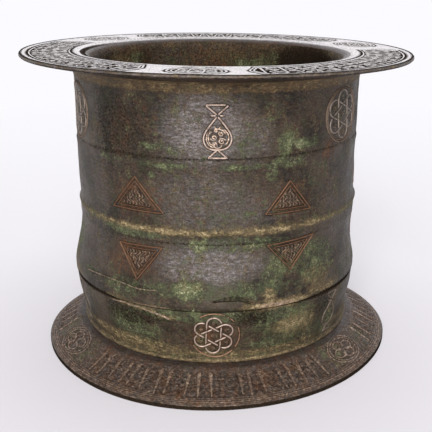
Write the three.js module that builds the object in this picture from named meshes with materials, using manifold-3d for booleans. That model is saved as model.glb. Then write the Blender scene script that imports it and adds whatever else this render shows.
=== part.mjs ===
// Footed grinding bowl of cast bronze. An open barrel with a broad flat rim laps over a
// flared foot casting that carries the floor, and wire motifs sit in grooves cut round both.
// Millimetres, +Z up, origin on the floor at the centre of the foot. Azimuth 0 faces -Y and
// grows towards +X.
import * as THREE from "three";
import { mergeVertices } from "three/addons/utils/BufferGeometryUtils.js";
import Module from "manifold-3d";

const wasm = await Module();
wasm.setup();

// Overall size. The wall, the collar and the foot keep their distance from the rim's edge.
const BOWL_HEIGHT = 140;
const RIM_RADIUS = 90;

// Rim: a flat flange that thickens towards the wall, with a rounded lip at the mouth
const RIM_OVERHANG = 23.8;
const RIM_EDGE_THICKNESS = 1.8;
const RIM_EDGE_CHAMFER = 0.5;
const RIM_ROOT_THICKNESS = 5.4;
const COVE_HEIGHT = 6;
const COVE_WIDTH = 6;
const LIP_WIDTH = 6.4;
const LIP_DROP = 5.5;

// Barrel wall, with two raised ridges and a swelling above its lower edge
const WALL_THICKNESS = 9;
const UPPER_RIDGE_RISE = 0.35;
const LOWER_RIDGE_RISE = 0.75;
const RIDGE_WIDTH = 4.4;
const SWELL_RISE = 2.8;
const SWELL_FROM_SEAM = 3.1;
const SWELL_FADE = 16.5;
const BARREL_EDGE_CHAMFER = 0.8;

// Heights on the barrel, as shares of the way from the seam up to the rim
const UPPER_VASE_NECK_SHARE = 0.805;
const UPPER_KNOT_SHARE = 0.76;
const UPPER_RIDGE_SHARE = 0.61;
const LOWER_RIDGE_SHARE = 0.3275;

// Lap joint: the barrel's socket drops over the foot's spigot and rests on its shoulder
const LAP_LENGTH = 12;
const SPIGOT_THICKNESS = 4.6;
const LAP_CLEARANCE = 0.3;

// Foot casting: collar, bead, flared skirt and dished floor
const COLLAR_HEIGHT = 24.5;
const COLLAR_SETBACK = 0.6;
const COLLAR_WAIST_DEPTH = 1.2;
const COLLAR_WAIST_HEIGHT = 20;
const BEAD_HEIGHT = 12.9;
const BEAD_WIDTH = 2.2;
const BEAD_RISE = 0.8;
const SKIRT_STEP = 3.4;
const SKIRT_TOP_HEIGHT = 11;
const FOOT_OVERHANG = 19;
const FOOT_EDGE_THICKNESS = 1.9;
const FOOT_EDGE_CHAMFER = 0.5;
const FLOOR_HEIGHT = 16;
const FLOOR_CORNER_RADIUS = 20;
const BASE_RING_WIDTH = 14;
const BASE_RECESS_DEPTH = 3.4;

// Shallow sunk bands that carry the chased ornament, with a plain border on each side
const BAND_DEPTH = 0.4;
const RIM_OUTER_BORDER = 3.6;
const RIM_INNER_BORDER = 4;
const SKIRT_LOWER_BORDER = 3.4;
const SKIRT_UPPER_BORDER = 1;

// Wire of the vases and triangles: hammered into a keel-shaped groove, a little proud of the face
const SILVER_WIDTH = 1;
const COPPER_WIDTH = 0.8;
const WIRE_DEPTH = 0.7;
const WIRE_PROUD = 0.12;
const GROOVE_CLEARANCE = 0.2;

// Wire of the knots: flat strip laid on the floor of a round sunk bed
const BED_DEPTH = 0.6;
const BED_CLEARANCE = 0.25;
const STRIP_LIFT = 0.2;
const CUT_RUN_OUT = 0.8;

// Vase motif, measured from its neck
const VASE_MOUTH_WIDTH = 8.8;
const VASE_MOUTH_RISE = 4.3;
const VASE_COLLAR_WIDTH = 5.4;
const VASE_BELLY_WIDTH = 11.3;
const VASE_BELLY_DROP = 8.6;
const VASE_BOTTOM_DROP = 13.5;
const VASE_FOOT_WIDTH = 7.6;
const VASE_FOOT_DROP = 17;
const LOWER_VASE_MARGIN = 2.2;

// Knot motif: crossed loops inside a ring, with the loops' size as a share of the ring's radius
const KNOT_LOOPS = 3;
const UPPER_RING_RADIUS = 12.6;
const LOWER_RING_MARGIN = 1.15;
const LOOP_LENGTH_SHARE = 1.68;
const LOOP_WIDTH_SHARE = 0.56;

// Triangle motif: one above the lower ridge pointing up, its twin below it pointing down
const TRIANGLE_WIDTH = 23;
const TRIANGLE_HEIGHT = 13.6;
const TRIANGLE_FROM_RIDGE = 7.3;

// Azimuths of the motifs in degrees. Hand setting left them slightly uneven.
const UPPER_VASE_AZIMUTHS = [0.5, 116, 233];
const UPPER_KNOT_AZIMUTHS = [57, 174.5, 292];
const TRIANGLE_AZIMUTHS = [28, 86.5, 145, 204, 262.5, 329];
const LOWER_KNOT_AZIMUTHS = [-0.5, 116, 233];
const LOWER_VASE_AZIMUTHS = [52, 174.5, 292];

// Facets
const TURNED_SEGMENTS = 40;
const CURVE_STEPS = 3;
const LOOP_END_STEPS = 4;
const RING_STEPS = 16;
const STRAIGHT_STEPS = 3;

// Sizes that follow from the ones above
const WALL_RADIUS = RIM_RADIUS - RIM_OVERHANG;
const BORE_RADIUS = WALL_RADIUS - WALL_THICKNESS;
const MOUTH_RADIUS = BORE_RADIUS + LIP_WIDTH;
const SPIGOT_RADIUS = BORE_RADIUS + SPIGOT_THICKNESS;
const SOCKET_RADIUS = SPIGOT_RADIUS + LAP_CLEARANCE;
const SEAM_HEIGHT = BEAD_HEIGHT + COLLAR_HEIGHT;
const SWELL_RADIUS = WALL_RADIUS + SWELL_RISE;
const SWELL_HEIGHT = SEAM_HEIGHT + SWELL_FROM_SEAM;
const SWELL_START_HEIGHT = SWELL_HEIGHT + SWELL_FADE;
const COLLAR_TOP_RADIUS = SWELL_RADIUS - COLLAR_SETBACK;
const COLLAR_WAIST_RADIUS = COLLAR_TOP_RADIUS - COLLAR_WAIST_DEPTH;
const SKIRT_TOP_RADIUS = COLLAR_WAIST_RADIUS + SKIRT_STEP;
const FOOT_RADIUS = WALL_RADIUS + FOOT_OVERHANG;
const SHOULDER_HEIGHT = SEAM_HEIGHT - LAP_CLEARANCE;
const SPIGOT_TOP_HEIGHT = SHOULDER_HEIGHT + LAP_LENGTH;
const SOCKET_TOP_HEIGHT = SPIGOT_TOP_HEIGHT + LAP_CLEARANCE;
const RIM_ROOT_HEIGHT = BOWL_HEIGHT - RIM_ROOT_THICKNESS;
const RIM_EDGE_HEIGHT = BOWL_HEIGHT - RIM_EDGE_THICKNESS;
const onWall = (share) => THREE.MathUtils.lerp(SEAM_HEIGHT, BOWL_HEIGHT, share);
const UPPER_VASE_NECK_HEIGHT = onWall(UPPER_VASE_NECK_SHARE);
const UPPER_KNOT_HEIGHT = onWall(UPPER_KNOT_SHARE);
const UPPER_RIDGE_HEIGHT = onWall(UPPER_RIDGE_SHARE);
const LOWER_RIDGE_HEIGHT = onWall(LOWER_RIDGE_SHARE);

// The collar's free face, between the bead and the joint, sets the size of the motifs on it
const COLLAR_FACE_BOTTOM = BEAD_HEIGHT + BEAD_WIDTH / 2;
const LOWER_KNOT_HEIGHT = (COLLAR_FACE_BOTTOM + SHOULDER_HEIGHT) / 2;
const LOWER_RING_RADIUS = (SHOULDER_HEIGHT - COLLAR_FACE_BOTTOM) / 2 - LOWER_RING_MARGIN;
const LOWER_VASE_SCALE =
  (SHOULDER_HEIGHT - COLLAR_FACE_BOTTOM - 2 * LOWER_VASE_MARGIN) / (VASE_MOUTH_RISE + VASE_FOOT_DROP);
const LOWER_VASE_NECK_HEIGHT = COLLAR_FACE_BOTTOM + LOWER_VASE_MARGIN + LOWER_VASE_SCALE * VASE_FOOT_DROP;

const BRONZE = new THREE.MeshStandardMaterial({ color: 0x55483a, roughness: 0.55, metalness: 0.8 });
const SILVER = new THREE.MeshStandardMaterial({ color: 0xcfc3bb, roughness: 0.4, metalness: 0.9 });
const COPPER = new THREE.MeshStandardMaterial({ color: 0x9a5f45, roughness: 0.45, metalness: 0.9 });

// A geometry as a solid that can be joined and cut.
function toSolid(geometry) {
  const bare = geometry.clone();
  bare.deleteAttribute("normal");
  bare.deleteAttribute("uv");
  const merged = mergeVertices(bare, 1e-4);
  return new wasm.Manifold(
    new wasm.Mesh({
      numProp: 3,
      vertProperties: merged.attributes.position.array,
      triVerts: new Uint32Array(merged.index.array),
    }),
  );
}

function toGeometry(solid) {
  const { vertProperties, triVerts } = solid.getMesh();
  const geometry = new THREE.BufferGeometry();
  geometry.setAttribute("position", new THREE.BufferAttribute(vertProperties, 3));
  geometry.setIndex(new THREE.BufferAttribute(triVerts, 1));
  return geometry;
}

// A solid as a named mesh.
function toMesh(name, solid, material) {
  const geometry = toGeometry(solid);
  geometry.computeVertexNormals();
  const mesh = new THREE.Mesh(geometry, material);
  mesh.name = name;
  return mesh;
}

// A profile of radius and height, turned about the upright axis.
function turned(profile) {
  const points = profile.getPoints(CURVE_STEPS);
  return toSolid(new THREE.LatheGeometry(points, TURNED_SEGMENTS).rotateX(Math.PI / 2));
}

// A low round ridge on an upright wall.
function ridge(path, radius, height, width, rise) {
  path.lineTo(radius, height - width / 2);
  path.quadraticCurveTo(radius + 2 * rise, height, radius, height + width / 2);
}

// Straight on to a point, with a shallow band sunk to the left of the way between two borders.
function sunkBand(path, end, firstBorder, lastBorder) {
  const start = path.currentPoint.clone();
  const along = end.clone().sub(start).normalize();
  const inward = new THREE.Vector2(-along.y, along.x).multiplyScalar(BAND_DEPTH);
  const at = (from, way) => from.clone().addScaledVector(along, way);
  const corners = [
    at(start, firstBorder),
    at(start, firstBorder + BAND_DEPTH).add(inward),
    at(end, -lastBorder - BAND_DEPTH).add(inward),
    at(end, -lastBorder),
    end,
  ];
  corners.forEach((corner) => path.lineTo(corner.x, corner.y));
}

// The barrel's outer face from its lower edge to the cove under the rim.
function barrelFace() {
  const path = new THREE.Path();
  path.moveTo(SWELL_RADIUS - BARREL_EDGE_CHAMFER, SEAM_HEIGHT);
  path.lineTo(SWELL_RADIUS, SEAM_HEIGHT + BARREL_EDGE_CHAMFER);
  path.lineTo(SWELL_RADIUS, SWELL_HEIGHT);
  const third = (SWELL_START_HEIGHT - SWELL_HEIGHT) / 3;
  path.bezierCurveTo(
    SWELL_RADIUS,
    SWELL_HEIGHT + third,
    WALL_RADIUS,
    SWELL_START_HEIGHT - third,
    WALL_RADIUS,
    SWELL_START_HEIGHT,
  );
  ridge(path, WALL_RADIUS, LOWER_RIDGE_HEIGHT, RIDGE_WIDTH, LOWER_RIDGE_RISE);
  ridge(path, WALL_RADIUS, UPPER_RIDGE_HEIGHT, RIDGE_WIDTH, UPPER_RIDGE_RISE);
  path.lineTo(WALL_RADIUS, RIM_ROOT_HEIGHT - COVE_HEIGHT);
  return path;
}

// The foot's outer face from the top of the skirt, over the bead and up the collar.
function collarFace() {
  const path = new THREE.Path();
  path.moveTo(SKIRT_TOP_RADIUS, SKIRT_TOP_HEIGHT);
  ridge(path, COLLAR_WAIST_RADIUS, BEAD_HEIGHT, BEAD_WIDTH, BEAD_RISE);
  path.lineTo(COLLAR_WAIST_RADIUS, COLLAR_WAIST_HEIGHT);
  path.quadraticCurveTo(
    COLLAR_WAIST_RADIUS,
    (COLLAR_WAIST_HEIGHT + SHOULDER_HEIGHT) / 2,
    COLLAR_TOP_RADIUS,
    SHOULDER_HEIGHT,
  );
  return path;
}

// Open casting with the rim: everything above the seam.
function barrel() {
  const path = barrelFace();
  path.quadraticCurveTo(WALL_RADIUS, RIM_ROOT_HEIGHT, WALL_RADIUS + COVE_WIDTH, RIM_ROOT_HEIGHT);
  path.lineTo(RIM_RADIUS - RIM_EDGE_CHAMFER, RIM_EDGE_HEIGHT);
  path.lineTo(RIM_RADIUS, RIM_EDGE_HEIGHT + RIM_EDGE_CHAMFER);
  path.lineTo(RIM_RADIUS, BOWL_HEIGHT - RIM_EDGE_CHAMFER);
  path.lineTo(RIM_RADIUS - RIM_EDGE_CHAMFER, BOWL_HEIGHT);
  sunkBand(path, new THREE.Vector2(MOUTH_RADIUS, BOWL_HEIGHT), RIM_OUTER_BORDER, RIM_INNER_BORDER);
  path.quadraticCurveTo(BORE_RADIUS, BOWL_HEIGHT, BORE_RADIUS, BOWL_HEIGHT - LIP_DROP);
  path.lineTo(BORE_RADIUS, SOCKET_TOP_HEIGHT);
  path.lineTo(SOCKET_RADIUS, SOCKET_TOP_HEIGHT);
  path.lineTo(SOCKET_RADIUS, SEAM_HEIGHT);
  path.closePath();
  return turned(path);
}

// Lower casting: resting ring, skirt, collar, spigot and the floor of the bowl.
function foot() {
  const face = collarFace().curves;
  const path = new THREE.Path();
  path.moveTo(0, BASE_RECESS_DEPTH);
  path.lineTo(FOOT_RADIUS - BASE_RING_WIDTH - BASE_RECESS_DEPTH, BASE_RECESS_DEPTH);
  path.lineTo(FOOT_RADIUS - BASE_RING_WIDTH, 0);
  path.lineTo(FOOT_RADIUS, 0);
  path.lineTo(FOOT_RADIUS, FOOT_EDGE_THICKNESS - FOOT_EDGE_CHAMFER);
  path.lineTo(FOOT_RADIUS - FOOT_EDGE_CHAMFER, FOOT_EDGE_THICKNESS);
  const skirtTop = new THREE.Vector2(SKIRT_TOP_RADIUS, SKIRT_TOP_HEIGHT);
  sunkBand(path, skirtTop, SKIRT_LOWER_BORDER, SKIRT_UPPER_BORDER);
  path.curves.push(...face);
  path.currentPoint.set(COLLAR_TOP_RADIUS, SHOULDER_HEIGHT);
  path.lineTo(SPIGOT_RADIUS, SHOULDER_HEIGHT);
  path.lineTo(SPIGOT_RADIUS, SPIGOT_TOP_HEIGHT);
  path.lineTo(BORE_RADIUS, SPIGOT_TOP_HEIGHT);
  path.lineTo(BORE_RADIUS, FLOOR_HEIGHT + FLOOR_CORNER_RADIUS);
  path.absarc(
    BORE_RADIUS - FLOOR_CORNER_RADIUS,
    FLOOR_HEIGHT + FLOOR_CORNER_RADIUS,
    FLOOR_CORNER_RADIUS,
    0,
    -Math.PI / 2,
    true,
  );
  path.lineTo(0, FLOOR_HEIGHT);
  return turned(path);
}

// Radius of an outer face at a height, read off its profile.
function radiusAt(face, height) {
  const above = face.findIndex((point) => point.y > height);
  if (above < 1) return (above < 0 ? face[face.length - 1] : face[0]).x;
  const low = face[above - 1];
  const high = face[above];
  return THREE.MathUtils.mapLinear(height, low.y, high.y, low.x, high.x);
}

// Unit normals of an outline at its corners, lengthened so that the wire keeps its width there.
function miters(points, closed) {
  const count = points.length;
  const edge = (i) => points[(i + 1) % count].clone().sub(points[i]).normalize();
  return points.map((_, i) => {
    const before = closed || i > 0 ? edge((i + count - 1) % count) : edge(i);
    const after = closed || i < count - 1 ? edge(i) : before;
    const normal = new THREE.Vector2(-before.y - after.y, before.x + after.x).normalize();
    return normal.divideScalar(normal.x * -before.y + normal.y * before.x);
  });
}

// A strip of one section along an outline laid flat. The section's corners are [across, out].
function strip({ points, closed }, section) {
  const sides = miters(points, closed);
  const corners = points.flatMap((point, i) =>
    section.flatMap(([across, out]) => {
      const corner = point.clone().addScaledVector(sides[i], across);
      return [corner.x, corner.y, out];
    }),
  );
  const width = section.length;
  const index = [];
  const spans = closed ? points.length : points.length - 1;
  for (let i = 0; i < spans; i++) {
    const here = width * i;
    const next = width * ((i + 1) % points.length);
    for (let k = 0; k < width; k++) {
      const turn = (k + 1) % width;
      index.push(here + k, next + k, next + turn, here + k, next + turn, here + turn);
    }
  }
  if (!closed) {
    const last = width * (points.length - 1);
    for (let k = 2; k < width; k++) {
      index.push(0, k - 1, k, last, last + k, last + k - 1);
    }
  }
  const geometry = new THREE.BufferGeometry();
  geometry.setAttribute("position", new THREE.Float32BufferAttribute(corners, 3));
  geometry.setIndex(index);
  return toSolid(geometry);
}

// The strokes of a motif joined while flat.
function joined(outlines, section) {
  return wasm.Manifold.union(outlines.map((outline) => strip(outline, section)));
}

// Bends a flat motif onto the outer face at its seat: x runs round, y up and z out.
function wrapped(seat, flat) {
  const geometry = toGeometry(flat);
  const position = geometry.attributes.position;
  const azimuth = THREE.MathUtils.degToRad(seat.azimuth);
  const seatRadius = radiusAt(seat.face, seat.height);
  for (let i = 0; i < position.count; i++) {
    const angle = azimuth + position.getX(i) / seatRadius;
    const height = seat.height + position.getY(i);
    const radius = radiusAt(seat.face, height) + position.getZ(i);
    position.setXYZ(i, radius * Math.sin(angle), -radius * Math.cos(angle), height);
  }
  return toSolid(geometry);
}

// Keel section: level on top, narrowing to a line at the bottom.
function keel(topWidth, top, depth) {
  return [
    [topWidth / 2, top],
    [0, -depth],
    [-topWidth / 2, top],
  ];
}

// The groove round a keeled wire: the same keel moved out by the clearance on both sides.
function grooveKeel(width) {
  const flank = width / (WIRE_PROUD + WIRE_DEPTH);
  const depth = WIRE_DEPTH + (2 * GROOVE_CLEARANCE) / flank;
  return keel(flank * (CUT_RUN_OUT + depth), CUT_RUN_OUT, depth);
}

// Flat section of the wire in a bed, from just above the bed's floor to just proud of the face.
function stripSection(width) {
  const bottom = STRIP_LIFT - BED_DEPTH;
  return [
    [width / 2, WIRE_PROUD],
    [width / 2, bottom],
    [-width / 2, bottom],
    [-width / 2, WIRE_PROUD],
  ];
}

// A round bed sunk evenly below the outer face.
function bed(seat, radius) {
  const reach = 2 * BED_DEPTH + CUT_RUN_OUT;
  const disc = new THREE.CylinderGeometry(radius, radius, reach, RING_STEPS).rotateX(Math.PI / 2);
  const cutter = wrapped(seat, toSolid(disc.translate(0, 0, CUT_RUN_OUT - reach / 2)));
  const below = seat.face.map(({ x, y }) => new THREE.Vector2(x - BED_DEPTH, y));
  const bottom = new THREE.Vector2(0, below[0].y);
  const top = new THREE.Vector2(0, below[below.length - 1].y);
  const core = new THREE.LatheGeometry([bottom, ...below, top], TURNED_SEGMENTS);
  return cutter.subtract(toSolid(core.rotateX(Math.PI / 2)));
}

// A closed outline through corners, with straight sides in equal steps so that they wrap.
function polygon(corners, steps) {
  const points = corners.flatMap((corner, i) => {
    const next = corners[(i + 1) % corners.length];
    return Array.from({ length: steps }, (_, k) => corner.clone().lerp(next, k / steps));
  });
  return { points, closed: true };
}

function ringOutline(radius) {
  const points = Array.from({ length: RING_STEPS }, (_, i) => {
    const angle = (2 * Math.PI * i) / RING_STEPS;
    return new THREE.Vector2(radius * Math.cos(angle), radius * Math.sin(angle));
  });
  return { points, closed: true };
}

// A long loop with round ends, turned to its angle about the motif's centre.
function loopOutline(length, width, angle) {
  const reach = (length - width) / 2;
  const ends = [0, Math.PI].flatMap((side) =>
    Array.from({ length: LOOP_END_STEPS + 1 }, (_, i) => {
      const turn = side - Math.PI / 2 + (Math.PI * i) / LOOP_END_STEPS;
      const centre = side === 0 ? reach : -reach;
      return new THREE.Vector2(centre + (width / 2) * Math.cos(turn), (width / 2) * Math.sin(turn));
    }),
  );
  const points = ends.map((point) => point.rotateAround(new THREE.Vector2(), angle));
  return { points, closed: true };
}

// Loops at equal angles inside a ring, the first one upright.
function knotOutlines(ringRadius) {
  return Array.from({ length: KNOT_LOOPS }, (_, i) =>
    loopOutline(
      ringRadius * LOOP_LENGTH_SHARE,
      ringRadius * LOOP_WIDTH_SHARE,
      Math.PI / 2 + (Math.PI * i) / KNOT_LOOPS,
    ),
  );
}

// Flared mouth, collar bar, drop-shaped belly and spread foot, from the neck at the origin.
function vaseOutlines(scale) {
  const mouth = polygon(
    [
      new THREE.Vector2(0, 0),
      new THREE.Vector2(VASE_MOUTH_WIDTH / 2, VASE_MOUTH_RISE),
      new THREE.Vector2(-VASE_MOUTH_WIDTH / 2, VASE_MOUTH_RISE),
    ],
    2,
  );
  const collar = {
    points: [new THREE.Vector2(-VASE_COLLAR_WIDTH / 2, 0), new THREE.Vector2(VASE_COLLAR_WIDTH / 2, 0)],
    closed: false,
  };
  const half = VASE_BELLY_WIDTH / 2;
  const drop = -VASE_BELLY_DROP;
  const bottom = -VASE_BOTTOM_DROP;
  const belly = new THREE.Path();
  belly.moveTo(0, 0);
  belly.bezierCurveTo(-half * 0.5, drop * 0.4, -half, drop * 0.6, -half, drop);
  belly.bezierCurveTo(-half, bottom * 0.85, -half * 0.5, bottom, 0, bottom);
  belly.bezierCurveTo(half * 0.5, bottom, half, bottom * 0.85, half, drop);
  belly.bezierCurveTo(half, drop * 0.6, half * 0.5, drop * 0.4, 0, 0);
  const spread = polygon(
    [
      new THREE.Vector2(0, bottom),
      new THREE.Vector2(-VASE_FOOT_WIDTH / 2, -VASE_FOOT_DROP),
      new THREE.Vector2(VASE_FOOT_WIDTH / 2, -VASE_FOOT_DROP),
    ],
    2,
  );
  const body = { points: belly.getPoints(CURVE_STEPS).slice(0, -1), closed: true };
  return [mouth, collar, body, spread].map(({ points, closed }) => ({
    points: points.map((point) => point.multiplyScalar(scale)),
    closed,
  }));
}

// A triangle on its base line at the origin, pointing up or down.
function triangleOutline(direction) {
  return polygon(
    [
      new THREE.Vector2(-TRIANGLE_WIDTH / 2, 0),
      new THREE.Vector2(TRIANGLE_WIDTH / 2, 0),
      new THREE.Vector2(0, direction * TRIANGLE_HEIGHT),
    ],
    STRAIGHT_STEPS,
  );
}

// Every motif: the face that holds it, its height and azimuths, and its wires by name
const onBarrel = barrelFace().getPoints(CURVE_STEPS);
const onCollar = collarFace().getPoints(CURVE_STEPS);
const inGroove = (name, outlines, width, metal) => ({
  wires: [{ name, flat: joined(outlines, keel(width, WIRE_PROUD, WIRE_DEPTH)), metal }],
  recess: (seat) => wrapped(seat, joined(outlines, grooveKeel(width))),
});
const inBed = (knot, ringRadius) => ({
  wires: [
    { name: knot, flat: joined(knotOutlines(ringRadius), stripSection(SILVER_WIDTH)), metal: SILVER },
    {
      name: `${knot}_ring`,
      flat: joined([ringOutline(ringRadius)], stripSection(COPPER_WIDTH)),
      metal: COPPER,
    },
  ],
  recess: (seat) => bed(seat, ringRadius + COPPER_WIDTH / 2 + BED_CLEARANCE),
});
const MOTIFS = [
  {
    face: onBarrel,
    height: UPPER_VASE_NECK_HEIGHT,
    azimuths: UPPER_VASE_AZIMUTHS,
    ...inGroove("upper_vase", vaseOutlines(1), SILVER_WIDTH, SILVER),
  },
  {
    face: onBarrel,
    height: UPPER_KNOT_HEIGHT,
    azimuths: UPPER_KNOT_AZIMUTHS,
    ...inBed("upper_knot", UPPER_RING_RADIUS),
  },
  {
    face: onBarrel,
    height: LOWER_RIDGE_HEIGHT + TRIANGLE_FROM_RIDGE,
    azimuths: TRIANGLE_AZIMUTHS,
    ...inGroove("triangle_up", [triangleOutline(1)], COPPER_WIDTH, COPPER),
  },
  {
    face: onBarrel,
    height: LOWER_RIDGE_HEIGHT - TRIANGLE_FROM_RIDGE,
    azimuths: TRIANGLE_AZIMUTHS,
    ...inGroove("triangle_down", [triangleOutline(-1)], COPPER_WIDTH, COPPER),
  },
  {
    face: onCollar,
    height: LOWER_KNOT_HEIGHT,
    azimuths: LOWER_KNOT_AZIMUTHS,
    ...inBed("lower_knot", LOWER_RING_RADIUS),
  },
  {
    face: onCollar,
    height: LOWER_VASE_NECK_HEIGHT,
    azimuths: LOWER_VASE_AZIMUTHS,
    ...inGroove("lower_vase", vaseOutlines(LOWER_VASE_SCALE), SILVER_WIDTH, SILVER),
  },
];

// Turns both castings, cuts every groove and bed, and lays the wires in them.
const group = new THREE.Group();
group.name = "grinding_bowl";
const recesses = new Map([
  [onBarrel, []],
  [onCollar, []],
]);
for (const { face, height, azimuths, wires, recess } of MOTIFS) {
  azimuths.forEach((azimuth, i) => {
    const seat = { face, azimuth, height };
    for (const { name, flat, metal } of wires) {
      group.add(toMesh(`${name}_${i + 1}`, wrapped(seat, flat), metal));
    }
    recesses.get(face).push(recess(seat));
  });
}
const cut = (casting, face) => casting.subtract(wasm.Manifold.union(recesses.get(face)));
group.add(toMesh("barrel", cut(barrel(), onBarrel), BRONZE));
group.add(toMesh("foot", cut(foot(), onCollar), BRONZE));

export default group;
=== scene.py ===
"""Looks of the footed bronze grinding bowl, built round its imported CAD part.

Sizes are millimetres here and metres in Blender. Azimuth 0 faces the camera (-Y) and grows towards +X.
Ornament is drawn on unrolled faces: u is arc length round the bowl, v is the way along the turned profile.
"""

import logging
import math
from collections.abc import Callable, Iterable
from dataclasses import dataclass, field, replace
from enum import Enum

import bpy
import numpy as np
from mathutils import Euler, Matrix, Vector, geometry, kdtree, noise


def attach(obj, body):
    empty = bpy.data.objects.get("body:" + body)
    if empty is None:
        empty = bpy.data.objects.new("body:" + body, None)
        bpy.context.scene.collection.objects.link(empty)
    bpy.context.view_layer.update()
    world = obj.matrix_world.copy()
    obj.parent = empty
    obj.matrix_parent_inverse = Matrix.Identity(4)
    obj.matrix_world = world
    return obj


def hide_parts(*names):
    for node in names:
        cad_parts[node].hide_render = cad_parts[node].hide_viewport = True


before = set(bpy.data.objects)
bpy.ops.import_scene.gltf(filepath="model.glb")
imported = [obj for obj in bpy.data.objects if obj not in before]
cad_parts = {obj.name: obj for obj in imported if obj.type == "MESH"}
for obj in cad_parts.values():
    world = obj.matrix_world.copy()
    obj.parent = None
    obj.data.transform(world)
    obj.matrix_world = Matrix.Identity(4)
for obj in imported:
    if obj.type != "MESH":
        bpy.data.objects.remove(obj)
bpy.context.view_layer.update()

MM = 0.001
COLUMNS = 320  # vertices in each ring of a casting
LOG = logging.getLogger("bowl")

Rows = tuple[tuple[float, ...], ...]  # a table of numbers


class Cut(Enum):
    """How a stroke of ornament was worked into the casting."""

    GROOVE = "groove"  # cut for a wire, with painted shade along its edges
    RELIEF = "relief"  # left standing while the ground round it was chased down


class Mark(Enum):
    """What the vertices of a casting tell its finish."""

    # a grey film, with painted sheen where the front lamp would shine and painted reflection along the sides
    SMOKE = "sheen_and_film"
    POLISH = "polish"
    RUST = "rust"
    VERDIGRIS = "verdigris"
    OCHRE = "ochre"
    # dark sunk ground, with painted shade in grooves, joints and recesses, under the rim and beside the ridges
    GROUND_AND_SHADE = "ground"
    WORN = "worn"


SMOKE, POLISH, RUST, VERDIGRIS, OCHRE, GROUND_AND_SHADE, WORN = Mark


class Metal(Enum):
    """Metal of an inlaid wire, by the record's slot."""

    SILVER = "silver_wire"
    COPPER = "copper_wire"


# ---------------------------------------------------------------- small helpers


def linear(hex_colour: str) -> tuple[float, float, float, float]:
    """Turns an sRGB hex colour into linear RGBA.

    Args:
        hex_colour: Colour such as "#6b5e4c".

    Returns:
        Linear red, green and blue, and alpha 1.
    """
    parts = [int(hex_colour[i : i + 2], 16) / 255 for i in (1, 3, 5)]
    red, green, blue = (c / 12.92 if c <= 0.04045 else ((c + 0.055) / 1.055) ** 2.4 for c in parts)
    return red, green, blue, 1.0


def add(tree: bpy.types.NodeTree, kind: str, inputs: dict | None = None, **settings: object) -> bpy.types.Node:
    """Adds a node, sets its properties, and fills its inputs with values or links.

    Args:
        tree: Node tree that gets the node.
        kind: Blender's type name of the node.
        inputs: Input name or index to a value, a socket, or a node whose first output is meant.
        **settings: Properties of the node.

    Returns:
        The new node.
    """
    node = tree.nodes.new(kind)
    for name, value in settings.items():
        setattr(node, name, value)
    for name, value in (inputs or {}).items():
        if isinstance(value, bpy.types.Node):
            value = value.outputs[0]
        if isinstance(value, bpy.types.NodeSocket):
            tree.links.new(value, node.inputs[name])
        else:
            node.inputs[name].default_value = value
    return node


def fade(values: np.ndarray, low: float, high: float) -> np.ndarray:
    """Rises smoothly from 0 at low to 1 at high, or falls where low is the larger."""
    share = np.clip((np.asarray(values, float) - low) / (high - low), 0, 1)
    return share * share * (3 - 2 * share)


def thinned(points: np.ndarray, spacing: float) -> np.ndarray:
    """Drops each point that lies closer than the spacing to an earlier one.

    Args:
        points: Flat points, most important first.
        spacing: Smallest distance that is kept.

    Returns:
        The points that stay.
    """
    cells: dict[tuple[int, int], list[int]] = {}
    kept = []
    rows = points.tolist()
    for index, (u, v) in enumerate(rows):
        column, row = int(u // spacing), int(v // spacing)
        near = (cells.get((column + i, row + j), ()) for i in (-1, 0, 1) for j in (-1, 0, 1))
        if all((rows[k][0] - u) ** 2 + (rows[k][1] - v) ** 2 >= spacing**2 for cell in near for k in cell):
            cells.setdefault((column, row), []).append(index)
            kept.append(index)
    return points[kept]


def nearest(targets: np.ndarray, points: np.ndarray) -> tuple[np.ndarray, np.ndarray]:
    """Finds the nearest target of each flat point.

    Args:
        targets: Flat points that are looked for.
        points: Flat points that look.

    Returns:
        The distance to the nearest target, and its index.
    """
    tree = kdtree.KDTree(len(targets))
    for index, (u, v) in enumerate(targets.tolist()):
        tree.insert((u, v, 0), index)
    tree.balance()
    found = [tree.find((u, v, 0))[1:] for u, v in points.tolist()]
    indexes, distances = zip(*found)
    return np.array(distances), np.array(indexes)


def in_space(azimuth: np.ndarray, radius: np.ndarray | float, height: np.ndarray) -> np.ndarray:
    """Gives the points at azimuths in radians, radii and heights."""
    return np.column_stack([radius * np.sin(azimuth), -radius * np.cos(azimuth), height])


def turned(path: np.ndarray, degrees: float) -> np.ndarray:
    """Turns a flat path anticlockwise round the origin."""
    c, s = math.cos(math.radians(degrees)), math.sin(math.radians(degrees))
    return path @ np.array([[c, s], [-s, c]])


def store(mesh: bpy.types.Mesh, name: str, values: np.ndarray) -> None:
    """Puts a number or a vector on each vertex of a mesh, as the attribute of that name."""
    kind, key = ("FLOAT", "value") if values.ndim == 1 else ("FLOAT_VECTOR", "vector")
    mesh.attributes.new(name, kind, "POINT").data.foreach_set(key, values.astype(np.float32).ravel())


def linked(name: str, data: bpy.types.ID) -> bpy.types.Object:
    """Makes an object of its data in the scene."""
    thing = bpy.data.objects.new(name, data)
    bpy.context.scene.collection.objects.link(thing)
    return thing


# ---------------------------------------------------------------- drawn lines


def resampled(path: np.ndarray | list[tuple[float, float]], step: float) -> np.ndarray:
    """Puts points at even distances along a path.

    Args:
        path: Points of the path.
        step: Distance wanted between points.

    Returns:
        Evenly spaced points, with both ends kept.
    """
    path = np.asarray(path, float)
    lengths = np.concatenate([[0], np.cumsum(np.hypot(*np.diff(path, axis=0).T))])
    count = max(2, round(lengths[-1] / step) + 1)
    stations = np.linspace(0, lengths[-1], count)
    return np.column_stack([np.interp(stations, lengths, path[:, i]) for i in (0, 1)])


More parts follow.
